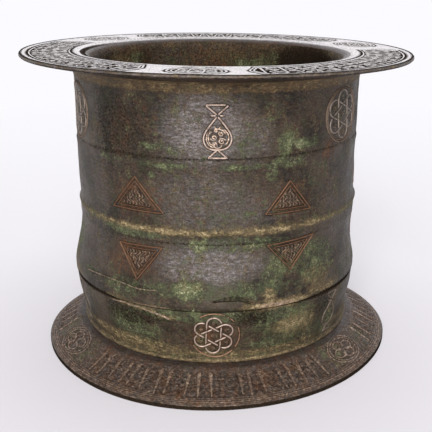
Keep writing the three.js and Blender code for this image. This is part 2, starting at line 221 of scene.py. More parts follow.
def curve_through(points: Iterable[tuple[float, float]], step: float = 0.5) -> np.ndarray:
    """Draws a smooth path through points (Catmull-Rom), evenly sampled.

    Args:
        points: Points that the path passes.
        step: Distance between the samples.

    Returns:
        The sampled path.
    """
    p = np.array(list(points), float)
    p = np.vstack([2 * p[0] - p[1], p, 2 * p[-1] - p[-2]])
    t = np.linspace(0, 1, 12, endpoint=False)[:, None]
    pieces = [
        0.5 * (2 * b + (c - a) * t + (2 * a - 5 * b + 4 * c - d) * t**2 + (3 * b - a - 3 * c + d) * t**3)
        for a, b, c, d in zip(p, p[1:], p[2:], p[3:])
    ]
    return resampled(np.vstack([*pieces, p[-2]]), step)


def arc(centre: tuple[float, float], radius: float, start: float, end: float, step: float = 0.5) -> np.ndarray:
    """Draws an arc between two angles in degrees."""
    count = max(3, round(abs(math.radians(end - start)) * radius / step) + 1)
    angles = np.radians(np.linspace(start, end, count))
    return np.column_stack([centre[0] + radius * np.cos(angles), centre[1] + radius * np.sin(angles)])


def spiral(centre: tuple[float, float], radius: float, start: float, turns: float) -> np.ndarray:
    """Draws a tendril that winds inwards from its radius to a quarter of it."""
    share = np.linspace(0, 1, 40)
    angles = np.radians(start) + 2 * math.pi * turns * share
    radii = radius * (1 - 0.75 * share)
    path = np.column_stack([centre[0] + radii * np.cos(angles), centre[1] + radii * np.sin(angles)])
    return resampled(path, 0.45)


@dataclass
class Stroke:
    """One worked line on an unrolled face."""

    path: np.ndarray
    cut: Cut
    width: float
    depth: float
    taper: tuple[float, float] = (1.0, 1.0)  # shares of the width at its start and its end
    shine: float = 1.0  # how rubbed its top is
    reach: float = 1.4  # how far beside it the ground is chased down, mm

    def widths(self, count: int) -> np.ndarray:
        """Gives the width at evenly spaced points along the stroke."""
        return self.width * np.linspace(*self.taper, count)

    def rows(self, step: float) -> np.ndarray:
        """Gives mesh points along the stroke's middle, its edges, and the foot of its slope."""
        path = resampled(self.path, step)
        along = np.gradient(path, axis=0)
        across = np.column_stack([-along[:, 1], along[:, 0]]) / np.hypot(*along.T)[:, None]
        half = self.widths(len(path))[:, None] / 2
        edges = [path + across * side * (half + extra) for extra in (0, TurnedFace.SLOPE) for side in (-1, 1)]
        return np.vstack([path, *edges])


@dataclass
class TurnedFace:
    """A face of revolution with its ornament."""

    SLOPE = 0.2  # width of the slope from a raised line down to its ground, mm
    RUBBED = 0.16  # how far down that slope handling has rubbed it, mm
    REACH_EDGE = 0.3  # softness of the edge of the chased ground, mm
    GROOVE_SLOPE = 0.26  # width of a groove's slope beside its wire, mm
    GROOVE_SHADE = 0.42  # how dark the painted shade in a groove beside its wire is
    NEAR = 0.3  # how far to both sides the slope of the profile is taken, mm
    STEP = 0.2  # spacing at which a stroke's distance is measured, mm

    profile: np.ndarray  # rows of v, radius, height
    reference_radius: float
    cut_azimuth: float  # where the unrolled face is cut, degrees
    grain: float  # spacing of its plain mesh
    ground_tone: float = 1.0  # how dark the sunk ground of its ornament is
    strokes: list[Stroke] = field(default_factory=list)

    @property
    def start(self) -> float:
        """First v of the face."""
        return float(self.profile[0, 0])

    @property
    def end(self) -> float:
        """Last v of the face."""
        return float(self.profile[-1, 0])

    def on_profile(self, v: np.ndarray) -> tuple[np.ndarray, np.ndarray]:
        """Gives radius and height at v."""
        stations, radius, height = self.profile.T
        return np.interp(v, stations, radius), np.interp(v, stations, height)

    def place(self, v: np.ndarray, lift: np.ndarray | float) -> tuple[np.ndarray, np.ndarray]:
        """Lifts points off the face along its normal, into the metal where the lift is negative.

        Args:
            v: Ways along the profile.
            lift: Heights over the face.

        Returns:
            Radius and height of each point.
        """
        ahead, behind = self.on_profile(v + self.NEAR), self.on_profile(v - self.NEAR)
        run, rise = ahead[0] - behind[0], ahead[1] - behind[1]
        length = np.hypot(run, rise)
        radius, height = self.on_profile(v)
        return radius + rise / length * lift, height - run / length * lift

    def draw(self, azimuth: float, v: float, path: np.ndarray, turn: float = 0) -> np.ndarray:
        """Puts a path drawn round the origin at a place on the face.

        Args:
            azimuth: Azimuth of the path's origin, degrees.
            v: Its place along the profile.
            path: Points right and up of the origin.
            turn: Turn of the path, degrees anticlockwise.

        Returns:
            The path in u and v.
        """
        return turned(path, turn) + np.array([math.radians(azimuth) * self.reference_radius, v])

    def chase(self, path: np.ndarray, width: float, depth: float, **settings: object) -> None:
        """Leaves a line standing in its chased ground.

        Args:
            path: Points of the line in u and v.
            width: Its width.
            depth: Depth of the ground beside it.
            **settings: Taper, shine and reach of the stroke.
        """
        self.strokes.append(Stroke(path, Cut.RELIEF, width, depth, **settings))

    def unrolled(self, points: np.ndarray) -> np.ndarray:
        """Brings points in u and v into the one turn that starts at the face's cut."""
        start, turn = math.radians(self.cut_azimuth) * self.reference_radius, 2 * math.pi * self.reference_radius
        return np.column_stack([(points[:, 0] - start) % turn + start, points[:, 1]])

    def relief(self, points: np.ndarray) -> tuple[np.ndarray, dict[Mark, np.ndarray]]:
        """Works the strokes into the face.

        Args:
            points: Points in u and v.

        Returns:
            How far each point moves off the face, and the marks that the work leaves: dark chased ground, painted shade
            in grooves and recesses, and rubbed tops.
        """
        points = self.unrolled(points)
        lift, ground, worn = np.zeros((3, len(points)))
        for cut in Cut:
            group = [stroke for stroke in self.strokes if stroke.cut is cut]
            if not group:
                continue
            paths = [resampled(stroke.path, self.STEP) for stroke in group]
            halves = [s.widths(len(p)) / 2 for s, p in zip(group, paths)]
            traits = [np.tile((s.depth, s.shine, s.reach), (len(p), 1)) for s, p in zip(group, paths)]
            distance, index = nearest(self.unrolled(np.vstack(paths)), points)
            beside = distance - np.concatenate(halves)[index]
            depth, shine, reach = np.vstack(traits)[index].T
            if cut is Cut.RELIEF:
                # The chased ground is darkened: dark ground and painted shade in one
                sunk = fade(beside, 0, self.SLOPE) * fade(beside - reach, self.REACH_EDGE, -self.REACH_EDGE)
                ground = np.maximum(ground, sunk * self.ground_tone)
                worn = np.maximum(worn, fade(beside, self.RUBBED, 0) * shine)
            else:
                # A groove gets painted shade beside its wire
                sunk = fade(beside, self.GROOVE_SLOPE, 0)
                ground = np.maximum(ground, sunk * self.GROOVE_SHADE)
            lift = lift - depth * sunk
        return lift, {GROUND_AND_SHADE: ground * (1 - worn), WORN: worn}


# ---------------------------------------------------------------- hand work and weathering


@dataclass(frozen=True)
class HandWork:
    """What casting, hammering and age did to the turned shape. Every piece goes through it, so all stay seated."""

    # Height to lean sideways, mm, and to tilt, degrees, up towards +X
    lean: Rows = (
        (0, -0.5), (20, -0.9), (45, -1.2), (52, -0.9), (58, -0.35), (64, 0.15), (72, 0.3), (82, -0.1), (92, -0.15),
        (110, 0.2), (130, 0.1), (136, 0),
    )  # fmt: skip
    tilt: Rows = ((0, 0.03), (20, 0.1), (50, 0.3), (104, 0.3), (134, -0.7))
    # Height to sag of the front, mm: the collar, the joint and the lower ridge all dip towards the viewer
    sag: Rows = ((0, 0), (3, 0), (11, -1.3), (40, -1.5), (60, -1.5), (71, -0.9), (79, 0))
    rim_ovality: float = 0.35  # mm
    # Azimuth and depth, mm, of the places where the foot is drawn in, or stands out where the depth is negative
    foot_flats: Rows = (
        (-165, 1.6), (-128, 5.0), (-92, 1.0), (-18, -1.9), (18, -0.6), (55, 0.7), (92, -0.4), (128, 1.7), (165, 1.4),
    )  # fmt: skip
    flat_sharpness: int = 8  # power of the cosine that each of them fades with
    unevenness: float = 0.13  # slow waves in the skin of the casting, mm
    wave_length: float = 13  # mm

    def bend(self, points: np.ndarray) -> np.ndarray:
        """Moves points of the true turned shape to where they are on the real one.

        Args:
            points: Points in millimetres.

        Returns:
            The moved points in millimetres.
        """
        x, y, z = points.T
        radius, azimuth = np.hypot(x, y), np.arctan2(x, -y)
        outer = fade(radius, 30, 55)  # the inside of the bowl stays true
        waves = np.array([noise.noise(Vector(p) / self.wave_length) for p in points.tolist()])
        # The upper part is drawn in at three places, and all of the skin but its two ends is uneven
        inward = self.rim_ovality * fade(z, 90, 136) * (0.5 + 0.5 * np.sin(3 * azimuth + 0.8))
        inward += self.unevenness * (0.6 + waves) * fade(z, 1, 5) * fade(z, 139.5, 136)
        for middle, depth in self.foot_flats:
            beside = np.clip(np.cos(azimuth - math.radians(middle)), 0, 1) ** self.flat_sharpness
            inward += depth * beside * fade(z, 18, 4) * fade(radius, 66, 84)
        rise = np.tan(np.radians(np.interp(z, *zip(*self.tilt)))) * (x + 90)
        rise += outer * np.interp(z, *zip(*self.sag)) * (0.55 + 0.45 * np.cos(azimuth))
        moved = in_space(azimuth, radius - outer * inward, z + rise)
        moved[:, 0] += np.interp(z, *zip(*self.lean)) * outer
        return moved


@dataclass(frozen=True)
class Patch:
    """A weathered place on the outside of the bowl, or a place of painted sheen or painted shade."""

    mark: Mark
    azimuth: float
    height: float
    half_angle: float
    half_height: float
    strength: float

    def weight(self, azimuth: np.ndarray, height: np.ndarray) -> np.ndarray:
        """Gives how much of the patch lies at each azimuth (degrees) and height."""
        turn = (azimuth - self.azimuth + 180) % 360 - 180
        reach = np.hypot(turn / self.half_angle, (height - self.height) / self.half_height)
        return self.strength * fade(reach, 1.5, 0.45)


def patched(table: dict[Mark, Rows]) -> tuple[Patch, ...]:
    """Makes patches from rows of azimuth, height, half angle, half height and strength, grouped by mark."""
    return tuple(Patch(mark, *row) for mark, rows in table.items() for row in rows)


WEATHERING_SHEEN_AND_SHADE = patched(
    {
        # Painted sheen: the grey patches at the front stand in for the front lamp's sheen, the tall ones near -70 and
        # 68 degrees for the reflection along the sides
        SMOKE: (
            (-4, 114, 19, 18, 0.9), (12, 110, 10, 13, 0.7), (-6, 84, 24, 14, 0.62), (13, 80, 14, 9, 0.6),
            (-2, 58, 26, 11, 0.88), (-70, 84, 8, 60, 0.4), (68, 84, 8, 60, 0.45),
        ),
        RUST: (
            (-37, 112, 6, 15, 0.75), (-25, 117, 5, 11, 0.65), (-31, 83, 14, 10, 0.85), (-33, 57, 15, 10, 0.9),
            (28, 83, 12, 9, 0.75), (29, 58, 12, 9, 0.7), (34, 120, 12, 8, 0.5), (46, 101, 5, 6, 0.95),
            (44, 86, 5, 10, 0.6), (0, 116, 7, 11, 0.6), (-1, 25, 12, 11, 0.9), (-45, 24, 12, 8, 0.5),
            (30, 33, 4, 6, 0.9), (0, 7, 70, 6, 0.7),
        ),
        VERDIGRIS: (
            (-32, 25, 16, 6, 0.78), (26, 20, 16, 4, 0.8), (-24, 106, 6, 2.6, 0.8), (-16, 105, 3, 3, 0.7),
            (-42, 99, 10, 1.8, 0.7), (-20, 98.4, 12, 2.0, 0.85), (-24, 94, 2.4, 1.6, 0.8), (9, 107, 9, 6, 0.62),
            (9, 98.2, 11, 2.0, 0.75), (25, 106, 4, 7, 0.85), (34, 106, 7, 3.4, 0.85), (26, 98.5, 10, 2.8, 0.8),
            (20, 94, 3, 4, 0.8), (39, 92, 6, 9, 0.55), (6, 77, 13, 4, 0.6), (-34, 69, 18, 3.0, 0.85),
            (5, 66, 26, 4, 0.8), (0, 46, 38, 5, 0.76), (-36, 44, 12, 5, 0.7), (22, 54, 6, 10, 0.8),
            (41, 54, 14, 12, 0.75), (-55, 44, 14, 4, 0.6), (-10, 35, 32, 4, 0.8), (-34, 29, 12, 7, 0.75),
            (27, 30, 17, 10, 0.85), (-30, 20, 16, 5, 0.6), (48, 20, 12, 9, 0.7), (0, 14.2, 75, 2.0, 0.6),
            (66, 7, 8, 5, 0.6), (-72, 8, 8, 5, 0.6), (-58, 71.4, 18, 1.8, 0.7), (50, 71.4, 16, 1.8, 0.7),
            (-52, 71.5, 12, 1.8, 0.6),
        ),
        OCHRE: (
            (-38, 18, 30, 3.5, 0.8), (32, 27, 13, 5, 0.85), (0, 16, 70, 1.8, 0.7), (-24, 71.2, 24, 1.9, 0.92),
            (0, 71.3, 86, 1.8, 0.85), (12, 71.5, 34, 1.8, 0.86), (-10, 106, 3, 2, 0.4), (24, 38.6, 16, 2.6, 1.0),
            (46, 40, 12, 2.6, 0.75), (20, 43, 3, 4, 0.8), (-26, 37.9, 13, 1.0, 0.7), (-34, 36.4, 9, 1.0, 0.85),
            (-25, 35.8, 7, 1.0, 0.9), (-18, 33.6, 6, 1.2, 0.8), (-38, 38, 12, 1.3, 0.7), (34, 27, 14, 9, 0.55),
            (42, 46, 9, 6, 0.6), (8, 60, 20, 8, 0.4), (-8, 48, 8, 2, 0.4), (0, 12.9, 75, 1.0, 0.85),
            (0, 14.9, 52, 1.6, 0.6),
        ),
        # Painted shade: the seam's gap on the left, the fine groove under the lower ridge and a line over the upper
        # ridge; the others darken the collar and the upper left
        GROUND_AND_SHADE: (
            (-26, 32, 12, 3, 0.5), (-62, 37.0, 26, 1.1, 1.0), (-34, 31, 12, 6, 0.55), (0, 66.4, 60, 0.9, 0.5),
            (0, 101.3, 75, 0.9, 0.55), (14, 34, 8, 5, 0.55), (-38, 112, 16, 16, 0.42), (44, 31, 8, 9, 0.4),
        ),
        WORN: ((-24, 37.7, 8, 0.7, 0.6), (24, 38.6, 10, 1.3, 0.62)),
    }
)  # fmt: skip
# What the picture does not show gets the same weathering, painted sheen and painted shade as what it shows, in thirds
# of a turn
REPEAT_TURNS = (0, 118, 241)
OUTSIDE = tuple(replace(patch, azimuth=patch.azimuth + turn) for turn in REPEAT_TURNS for patch in WEATHERING_SHEEN_AND_SHADE)
# Painted shade on the left of the lip, dark as if the shaded inside of the mouth began farther in
LIP_SHADE = patched({RUST: ((-84, 138, 42, 3, 1.0),), GROUND_AND_SHADE: ((-84, 137.5, 40, 2.6, 0.75),)})
# The far wall inside, just under the lip
INSIDE = patched(
    {
        SMOKE: ((206, 129, 12, 8, 0.75), (186, 130, 14, 6, 0.6)),
        RUST: ((233, 129, 22, 12, 1.0), (184, 128, 16, 10, 1.0)),
        VERDIGRIS: ((226, 131, 6, 4, 0.9), (205, 128, 5, 4, 0.7), (160, 126, 12, 4, 0.95), (150, 130, 8, 5, 0.7)),
        OCHRE: ((240, 130, 12, 5, 0.85), (172, 131, 12, 4, 0.5)),
        GROUND_AND_SHADE: ((124, 128, 26, 14, 0.8),),
    }
)  # fmt: skip


# ---------------------------------------------------------------- turned castings


@dataclass(frozen=True)
class Span:
    """Part of a casting's profile between two corners."""

    corners: Rows  # radius, height
    step: float
    marks: dict[Mark, float] = field(default_factory=dict)
    face: TurnedFace | None = None
    patches: tuple[Patch, ...] = OUTSIDE

    def rows(self) -> np.ndarray:
        """Gives radius and height of the rings, corners kept, no further apart than the step."""
        rows = [np.array(self.corners[0], float)[None]]
        for a, b in zip(self.corners, self.corners[1:]):
            count = max(1, math.ceil(math.dist(a, b) / self.step - 1e-6))
            rows.append(np.linspace(a, b, count + 1)[1:])
        return np.vstack(rows)


class TurnedMesh:
    """A closed casting, built ring by ring round +Z along a profile that runs anticlockwise in radius and height."""

    STROKE_STEP = 0.62  # spacing of the points along a worked line, mm
    CLOSEST = 0.17  # points nearer to each other than this become one, mm
    CLEARANCE = 0.6  # how far plain points stay from worked ones, in shares of the plain spacing
    MARGIN = 0.3  # strip along a face's borders that holds border points only, mm
    SKIN_RADIUS = 66  # radius of the cylinder that the finish is laid on, mm
    SHARP_ANGLE = 48  # degrees

    def __init__(self) -> None:
        """Starts an empty mesh."""
        self.ring_azimuths = 2 * math.pi * np.arange(COLUMNS) / COLUMNS
        self.blocks: list[np.ndarray] = []  # azimuth, radius, height, way along the profile
        self.marks: dict[Mark, list[np.ndarray]] = {mark: [] for mark in Mark}
        self.triangles: list[np.ndarray] = []
        self.count = 0

    def points(
        self, block: np.ndarray, marks: dict[Mark, np.ndarray | float], patches: tuple[Patch, ...]
    ) -> np.ndarray:
        """Adds vertices.

        Args:
            block: Rows of azimuth, radius, height and way along the profile.
            marks: What they tell the finish.
            patches: Weathered places, and places of painted sheen or painted shade, that may lie on them.

        Returns:
            Their indexes.
        """
        degrees, heights = np.degrees(block[:, 0]), block[:, 2]
        for mark in Mark:
            value = np.zeros(len(block)) + marks.get(mark, 0.0)
            for patch in (p for p in patches if p.mark is mark):
                value = np.maximum(value, patch.weight(degrees, heights))
            self.marks[mark].append(value)
        self.blocks.append(block)
        self.count += len(block)
        return np.arange(self.count - len(block), self.count)

    def ring(self, radius: float, height: float, way: float, span: Span) -> np.ndarray:
        """Adds one ring of vertices and returns its indexes."""
        ones = np.ones(COLUMNS)
        block = np.column_stack([self.ring_azimuths, radius * ones, height * ones, way * ones])
        return self.points(block, span.marks, span.patches)

    def bridge(self, lower: np.ndarray, upper: np.ndarray) -> None:
        """Joins two rings, the first of which comes earlier along the profile."""
        a, b = np.roll(lower, -1), np.roll(upper, -1)
        self.triangles += [np.column_stack([lower, a, b]), np.column_stack([lower, b, upper])]

    def pole(self, ring: np.ndarray, height: float, way: float, span: Span, first: bool) -> None:
        """Closes a ring with a fan to the axis, at the profile's first or last point."""
        centre = self.points(np.array([[0.0, 0.0, height, way]]), span.marks, span.patches)
        hub = np.full(COLUMNS, centre[0])
        near, far = (np.roll(ring, -1), ring) if first else (ring, np.roll(ring, -1))
        self.triangles.append(np.column_stack([hub, near, far]))

    def ornamented(self, span: Span, lower: np.ndarray, upper: np.ndarray, way: float) -> None:
        """Fills the space between two rings with a worked face.

        Args:
            span: Span that carries the face.
            lower: Ring at the face's start.
            upper: Ring at its end.
            way: Way along the profile at the face's start.
        """
        face, margin = span.face, self.MARGIN
        scale = face.reference_radius
        steps = round(face.cut_azimuth / 360 * COLUMNS) + np.arange(COLUMNS + 1)
        order = steps % COLUMNS
        u_ring = 2 * math.pi * steps / COLUMNS * scale
        side = np.linspace(face.start, face.end, max(2, round((face.end - face.start) / face.grain)) + 1)[1:-1]

        rows = [stroke.rows(self.STROKE_STEP) for stroke in face.strokes]
        worked = thinned(face.unrolled(np.vstack(rows)), self.CLOSEST)
        # Plain parts get staggered points, none of them close to a worked line
        half = (u_ring[1] - u_ring[0]) / 2  # of a column
        plain = np.vstack([self.column(u_ring[:-1] + half * (row % 2), v) for row, v in enumerate(side)])
        plain = plain[nearest(worked, plain)[0] > self.CLEARANCE * face.grain]
        inner = np.vstack([worked, plain])
        low, high = (u_ring[0] + margin, face.start + margin), (u_ring[-1] - margin, face.end - margin)
        inner = inner[np.all((inner > low) & (inner < high), axis=1)]
        lift, marks = face.relief(inner)
        radius, height = face.place(inner[:, 1], lift)
        for mark, value in span.marks.items():
            marks[mark] = np.maximum(marks.get(mark, 0.0), value)
        block = np.column_stack([inner[:, 0] / scale, radius, height, way + inner[:, 1] - face.start])
        ids = self.points(block, marks, span.patches)
        seam = np.column_stack([np.full(len(side), u_ring[0] / scale), *face.on_profile(side), way + side - face.start])
        side_ids = self.points(seam, span.marks, span.patches)
        borders = [(u_ring, face.start), (u_ring, face.end), (u_ring[0], side), (u_ring[-1], side)]
        flat = np.vstack([inner, *(self.column(u, v) for u, v in borders)])
        owners = np.concatenate([ids, lower[order], upper[order], side_ids, side_ids])
        result = geometry.delaunay_2d_cdt([Vector(p) for p in flat.tolist()], [], [], 0, 1e-6, True)
        source = np.array([origins[0] for origins in result[3]])
        triangles = source[np.array(result[2])]
        a, b, c = (flat[triangles[:, i]] for i in range(3))
        area = (b[:, 0] - a[:, 0]) * (c[:, 1] - a[:, 1]) - (b[:, 1] - a[:, 1]) * (c[:, 0] - a[:, 0])
        triangles[area < 0] = triangles[area < 0][:, ::-1]
        self.triangles.append(owners[triangles])

    @staticmethod
    def column(u: np.ndarray | float, v: np.ndarray | float) -> np.ndarray:
        """Gives flat points, of which u or v may be one number for all."""
        return np.column_stack(np.broadcast_arrays(u, v))

    def follow(self, spans: list[Span]) -> None:
        """Builds the spans one after another and closes the shape.

        Args:
            spans: Spans of the profile in order. One that starts or ends on the axis gets a pole there.
        """
        start = spans[0].corners[0]
        way, previous = 0.0, None
        if start[0]:  # off the axis, so the last ring will meet the first one
            first_ring = previous = self.ring(*start, way, spans[0])
        for span in spans:
            rows = span.rows()
            if span.face:
                length = span.face.end - span.face.start
                far = self.ring(*rows[-1], way + length, span)
                self.ornamented(span, previous, far, way)
                way, previous = way + length, far
                continue
            for here, (radius, height) in zip(rows, rows[1:]):
                way += math.dist(here, (radius, height))
                if (radius, height) == start:
                    self.bridge(previous, first_ring)
                elif radius == 0:
                    self.pole(previous, height, way, span, first=False)
                else:
                    ring = self.ring(radius, height, way, span)
                    if previous is None:
                        self.pole(ring, here[1], 0.0, span, first=True)
                    else:
                        self.bridge(previous, ring)
                    previous = ring

    def to_object(self, name: str, shape: Callable[[np.ndarray], np.ndarray]) -> bpy.types.Object:
        """Makes the Blender object.

        Args:
            name: Name of the piece.
            shape: Moves points in millimetres from the true shape to the real one.

        Returns:
            The object, with the finish's coordinates and marks on its vertices.
        """
        azimuth, radius, height, way = np.vstack(self.blocks).T
        mesh = bpy.data.meshes.new(name)
        points = shape(in_space(azimuth, radius, height)) * MM
        mesh.from_pydata(points.tolist(), [], np.vstack(self.triangles).tolist())
        # The finish's own coordinates: a cylinder of one radius, along which the profile is unrolled
        store(mesh, "skin", in_space(azimuth, self.SKIN_RADIUS, way))
        for mark in Mark:
            store(mesh, mark.value, np.concatenate(self.marks[mark]))
        mesh.shade_smooth()
        mesh.set_sharp_from_angle(angle=math.radians(self.SHARP_ANGLE))
        return linked(name, mesh)


# ---------------------------------------------------------------- finishes


@dataclass(frozen=True)
class Deposit:
    """One skin or crust on the bronze. It shows where its vertex mark and a noise together pass a threshold."""

    mark: Mark
    colour: str
    heart: str  # colour in the middle of its lumps
    lump: tuple[float, float]  # size of a lump round the bowl and along the profile, mm
    cover: float  # share that it covers where its mark is 1
    edge: float  # softness of its borders
    roughness: float
    metallic: float
    rise: float  # thickness that the bump shows, in units of the crust depth
    broken: float = 0.0  # how far the slow clouds break it up
    specular: float = 0.3  # low, since a dull crust mirrors little at a low angle


def blank(name: str) -> bpy.types.Material:
    """Makes a material whose node tree is still empty."""
    material = bpy.data.materials.new(name)
    material.use_nodes = True
    material.node_tree.nodes.clear()
    return material


@dataclass(frozen=True)
class PatinatedBronze:
    """Cast bronze, turned and chased, then long buried and lightly cleaned.

    The eye gets a half-gloss brown skin with wavy tool marks, grey-violet where it was handled and with painted sheen
    where the lamps would shine, painted shade in its hollows, and dull green, yellow and rust-brown crusts that stand a
    little proud of it.
    """

    name: str
    dark: str = "#19120d"
    brown: str = "#3a2f26"
    red_brown: str = "#412818"
    olive: str = "#33341f"
    cloud: float = 14.0  # size of the slow changes of tone, mm
    tool_mark: tuple[float, float] = (2.0, 0.62)  # length and pitch of the tool marks, mm; drawn a little coarse
    grain: float = 0.75  # casting grain, mm; drawn coarse too
    pit: float = 3.2  # spacing of the pits, mm
    crust_depth: float = 0.24  # mm
    mark_share: float = 0.56  # what a vertex mark of 1 adds to the noise
    threshold: float = 0.84  # where both together start to show a deposit
    full: float = 1.16  # where the heart of a lump is reached
    # Grey film with painted sheen, rubbed bright metal, brown crust, green crust and its pale heads, earth, dark ground
    # with painted shade, rubbed lines
    deposits: tuple[Deposit, ...] = (
        Deposit(SMOKE, "#565150", "#777274", (2.4, 0.9), 0.9, 0.3, 0.42, 0.4, 0.05, 0.2),
        Deposit(POLISH, "#989392", "#bfbbba", (2.5, 1.6), 1.15, 0.18, 0.36, 0.7, 0.0),
        Deposit(RUST, "#3e291c", "#614029", (2.0, 3.4), 0.8, 0.2, 0.6, 0.15, 0.15, 0.5),
        Deposit(VERDIGRIS, "#39402a", "#5c6443", (3.0, 2.0), 0.88, 0.16, 0.7, 0.05, 0.35, 0.75),
        Deposit(VERDIGRIS, "#6d7255", "#a7aa8c", (1.1, 0.8), 0.55, 0.12, 0.85, 0.0, 1.0, 1.0),
        Deposit(OCHRE, "#645639", "#9a8a6b", (1.9, 1.1), 0.88, 0.24, 0.75, 0.05, 0.7, 0.4),
        Deposit(GROUND_AND_SHADE, "#15110d", "#2a221b", (0.9, 0.9), 1.25, 0.2, 0.9, 0.0, -0.3, specular=0.0),
        Deposit(WORN, "#86705f", "#c0ac9b", (1.3, 1.0), 1.15, 0.2, 0.4, 0.6, 0.1),
    )

    def make(self) -> bpy.types.Material:
        """Builds the material and returns it."""
        material = blank(self.name)
        tree = material.node_tree
        skin = add(tree, "ShaderNodeAttribute", attribute_name="skin").outputs["Vector"]

        def pattern(across: float, along: float, kind: str = "Noise", **inputs: float) -> bpy.types.Node:
            """Lays a texture on the skin, drawn so large that one unit of it has the given size in millimetres."""
            scale = (1 / across, 1 / across, 1 / along)
            place = add(tree, "ShaderNodeMapping", {"Vector": skin, "Scale": scale})
            return add(tree, f"ShaderNodeTex{kind}", {"Vector": place, "Scale": 1, **inputs})

        clouds = pattern(self.cloud, self.cloud, Detail=6, Roughness=0.62)
        hues = pattern(0.55 * self.cloud, self.cloud, Detail=7, Roughness=0.72)
        marks = pattern(*self.tool_mark, Detail=3, Roughness=0.6, Distortion=1.5)
        grains = pattern(self.grain, self.grain, Detail=3, Roughness=0.7)
        pits = pattern(self.pit, self.pit, "Voronoi", Randomness=1)

        colour = linear(self.dark)
        for tint, cloud, low, high, most, curve in (
            (self.brown, clouds, 0.36, 0.64, 1.0, "SMOOTHSTEP"),
            (self.red_brown, hues, 0.52, 0.66, 0.75, "LINEAR"),
            (self.olive, hues, 0.48, 0.34, 0.75, "LINEAR"),
        ):
            limits = {"Value": cloud, "From Min": low, "From Max": high, "To Max": most}
            share = add(tree, "ShaderNodeMapRange", limits, interpolation_type=curve)
            colour = add(tree, "ShaderNodeMix", {0: share, 6: colour, 7: linear(tint)}, data_type="RGBA").outputs[2]
        limits = {"Value": clouds, "From Min": 0.3, "From Max": 0.7, "To Min": 0.52, "To Max": 0.36}
        surface = {"Roughness": add(tree, "ShaderNodeMapRange", limits), "Metallic": 0.35, "Specular IOR Level": 0.3}
        height = 0.0
        for source, share in ((marks, 0.5), (grains, 0.34)):
            height = add(tree, "ShaderNodeMath", {0: source, 1: share, 2: height}, operation="MULTIPLY_ADD")

        for deposit in self.deposits:
            amount = add(tree, "ShaderNodeAttribute", attribute_name=deposit.mark.value).outputs["Fac"]
            lumps = pattern(*deposit.lump, Detail=5, Roughness=0.7, Distortion=0.4)
            if deposit.broken:
                slow = add(tree, "ShaderNodeMath", {0: hues, 1: 0.5}, operation="SUBTRACT")
                lumps = add(tree, "ShaderNodeMath", {0: slow, 1: deposit.broken, 2: lumps}, operation="MULTIPLY_ADD")
            share = self.mark_share * deposit.cover
            level = add(tree, "ShaderNodeMath", {0: amount, 1: share, 2: lumps}, operation="MULTIPLY_ADD")
            ranges = (self.threshold - deposit.edge, self.threshold + deposit.edge), (self.threshold, self.full)
            limits = [{"Value": level, "From Min": low, "From Max": high} for low, high in ranges]
            mask, heart = (add(tree, "ShaderNodeMapRange", i, interpolation_type="SMOOTHSTEP") for i in limits)
            paint = {0: heart, 6: linear(deposit.colour), 7: linear(deposit.heart)}
            paint = add(tree, "ShaderNodeMix", paint, data_type="RGBA").outputs[2]
            colour = add(tree, "ShaderNodeMix", {0: mask, 6: colour, 7: paint}, data_type="RGBA").outputs[2]
            for name, value in zip(surface, (deposit.roughness, deposit.metallic, deposit.specular)):
                surface[name] = add(tree, "ShaderNodeMix", {0: mask, 2: surface[name], 3: value})
            if deposit.rise:
                height = add(tree, "ShaderNodeMath", {0: mask, 1: deposit.rise, 2: height}, operation="MULTIPLY_ADD")

        # Tool marks, grain and pits darken and lighten whatever skin lies over them
        shade = 1.0
        for source, low, high, dark, light in (
            (marks, 0.3, 0.7, 0.8, 1.24), (grains, 0.32, 0.68, 0.56, 1.58), (pits, 0.05, 0.2, 0.6, 1.0),
        ):  # fmt: skip
            limits = {"Value": source, "From Min": low, "From Max": high, "To Min": dark, "To Max": light}
            pitted = add(tree, "ShaderNodeMapRange", limits)
            shade = add(tree, "ShaderNodeMath", {0: shade, 1: pitted}, operation="MULTIPLY")
        colour = add(tree, "ShaderNodeVectorMath", {0: colour, "Scale": shade}, operation="SCALE")
        height = add(tree, "ShaderNodeMath", {0: pitted, 1: 0.4, 2: height}, operation="MULTIPLY_ADD")
        bump = add(tree, "ShaderNodeBump", {"Height": height, "Strength": 1.0, "Distance": self.crust_depth * MM})
        shader = add(tree, "ShaderNodeBsdfPrincipled", {"Base Color": colour, "Normal": bump, **surface})
        add(tree, "ShaderNodeOutputMaterial", {"Surface": shader})
        return material


@dataclass(frozen=True)
class HammeredWireMetal:
    """Soft wire beaten into a groove with a small hammer.

    The eye gets a half-gloss line with small dents, rubbed bright and darkened by spots of tarnish.
    """

    name: str
    bright: str
    tarnish: str
    roughness: float
    metallic: float = 0.7
    spot: float = 1.6  # size of the tarnish spots, mm
    dent: float = 0.7  # spacing of the hammer dents, mm
    dent_depth: float = 0.12  # mm

    def make(self) -> bpy.types.Material:
        """Builds the material and returns it."""
        material = blank(self.name)
        tree = material.node_tree
        place = add(tree, "ShaderNodeTexCoord").outputs["Object"]
        spots, dents = (
            add(tree, "ShaderNodeTexNoise", {"Vector": place, "Scale": 1 / (size * MM), **inputs})
            for size, inputs in ((self.spot, {"Detail": 4, "Roughness": 0.65}), (self.dent, {"Detail": 1}))
        )
        limits = {"Value": spots, "From Min": 0.5, "From Max": 0.68}
        mask = add(tree, "ShaderNodeMapRange", limits, interpolation_type="SMOOTHSTEP")
        paint = {0: mask, 6: linear(self.bright), 7: linear(self.tarnish)}
        paint = add(tree, "ShaderNodeMix", paint, data_type="RGBA").outputs[2]
        limits = {"Value": spots, "From Min": 0.3, "From Max": 0.7}
        limits |= {"To Min": self.roughness, "To Max": self.roughness + 0.3}
        rough = add(tree, "ShaderNodeMapRange", limits)
        bump = add(tree, "ShaderNodeBump", {"Height": dents, "Strength": 0.6, "Distance": self.dent_depth * MM})
        surface = {"Base Color": paint, "Roughness": rough, "Metallic": self.metallic, "Normal": bump}
        shader = add(tree, "ShaderNodeBsdfPrincipled", surface)
        add(tree, "ShaderNodeOutputMaterial", {"Surface": shader})
        return material


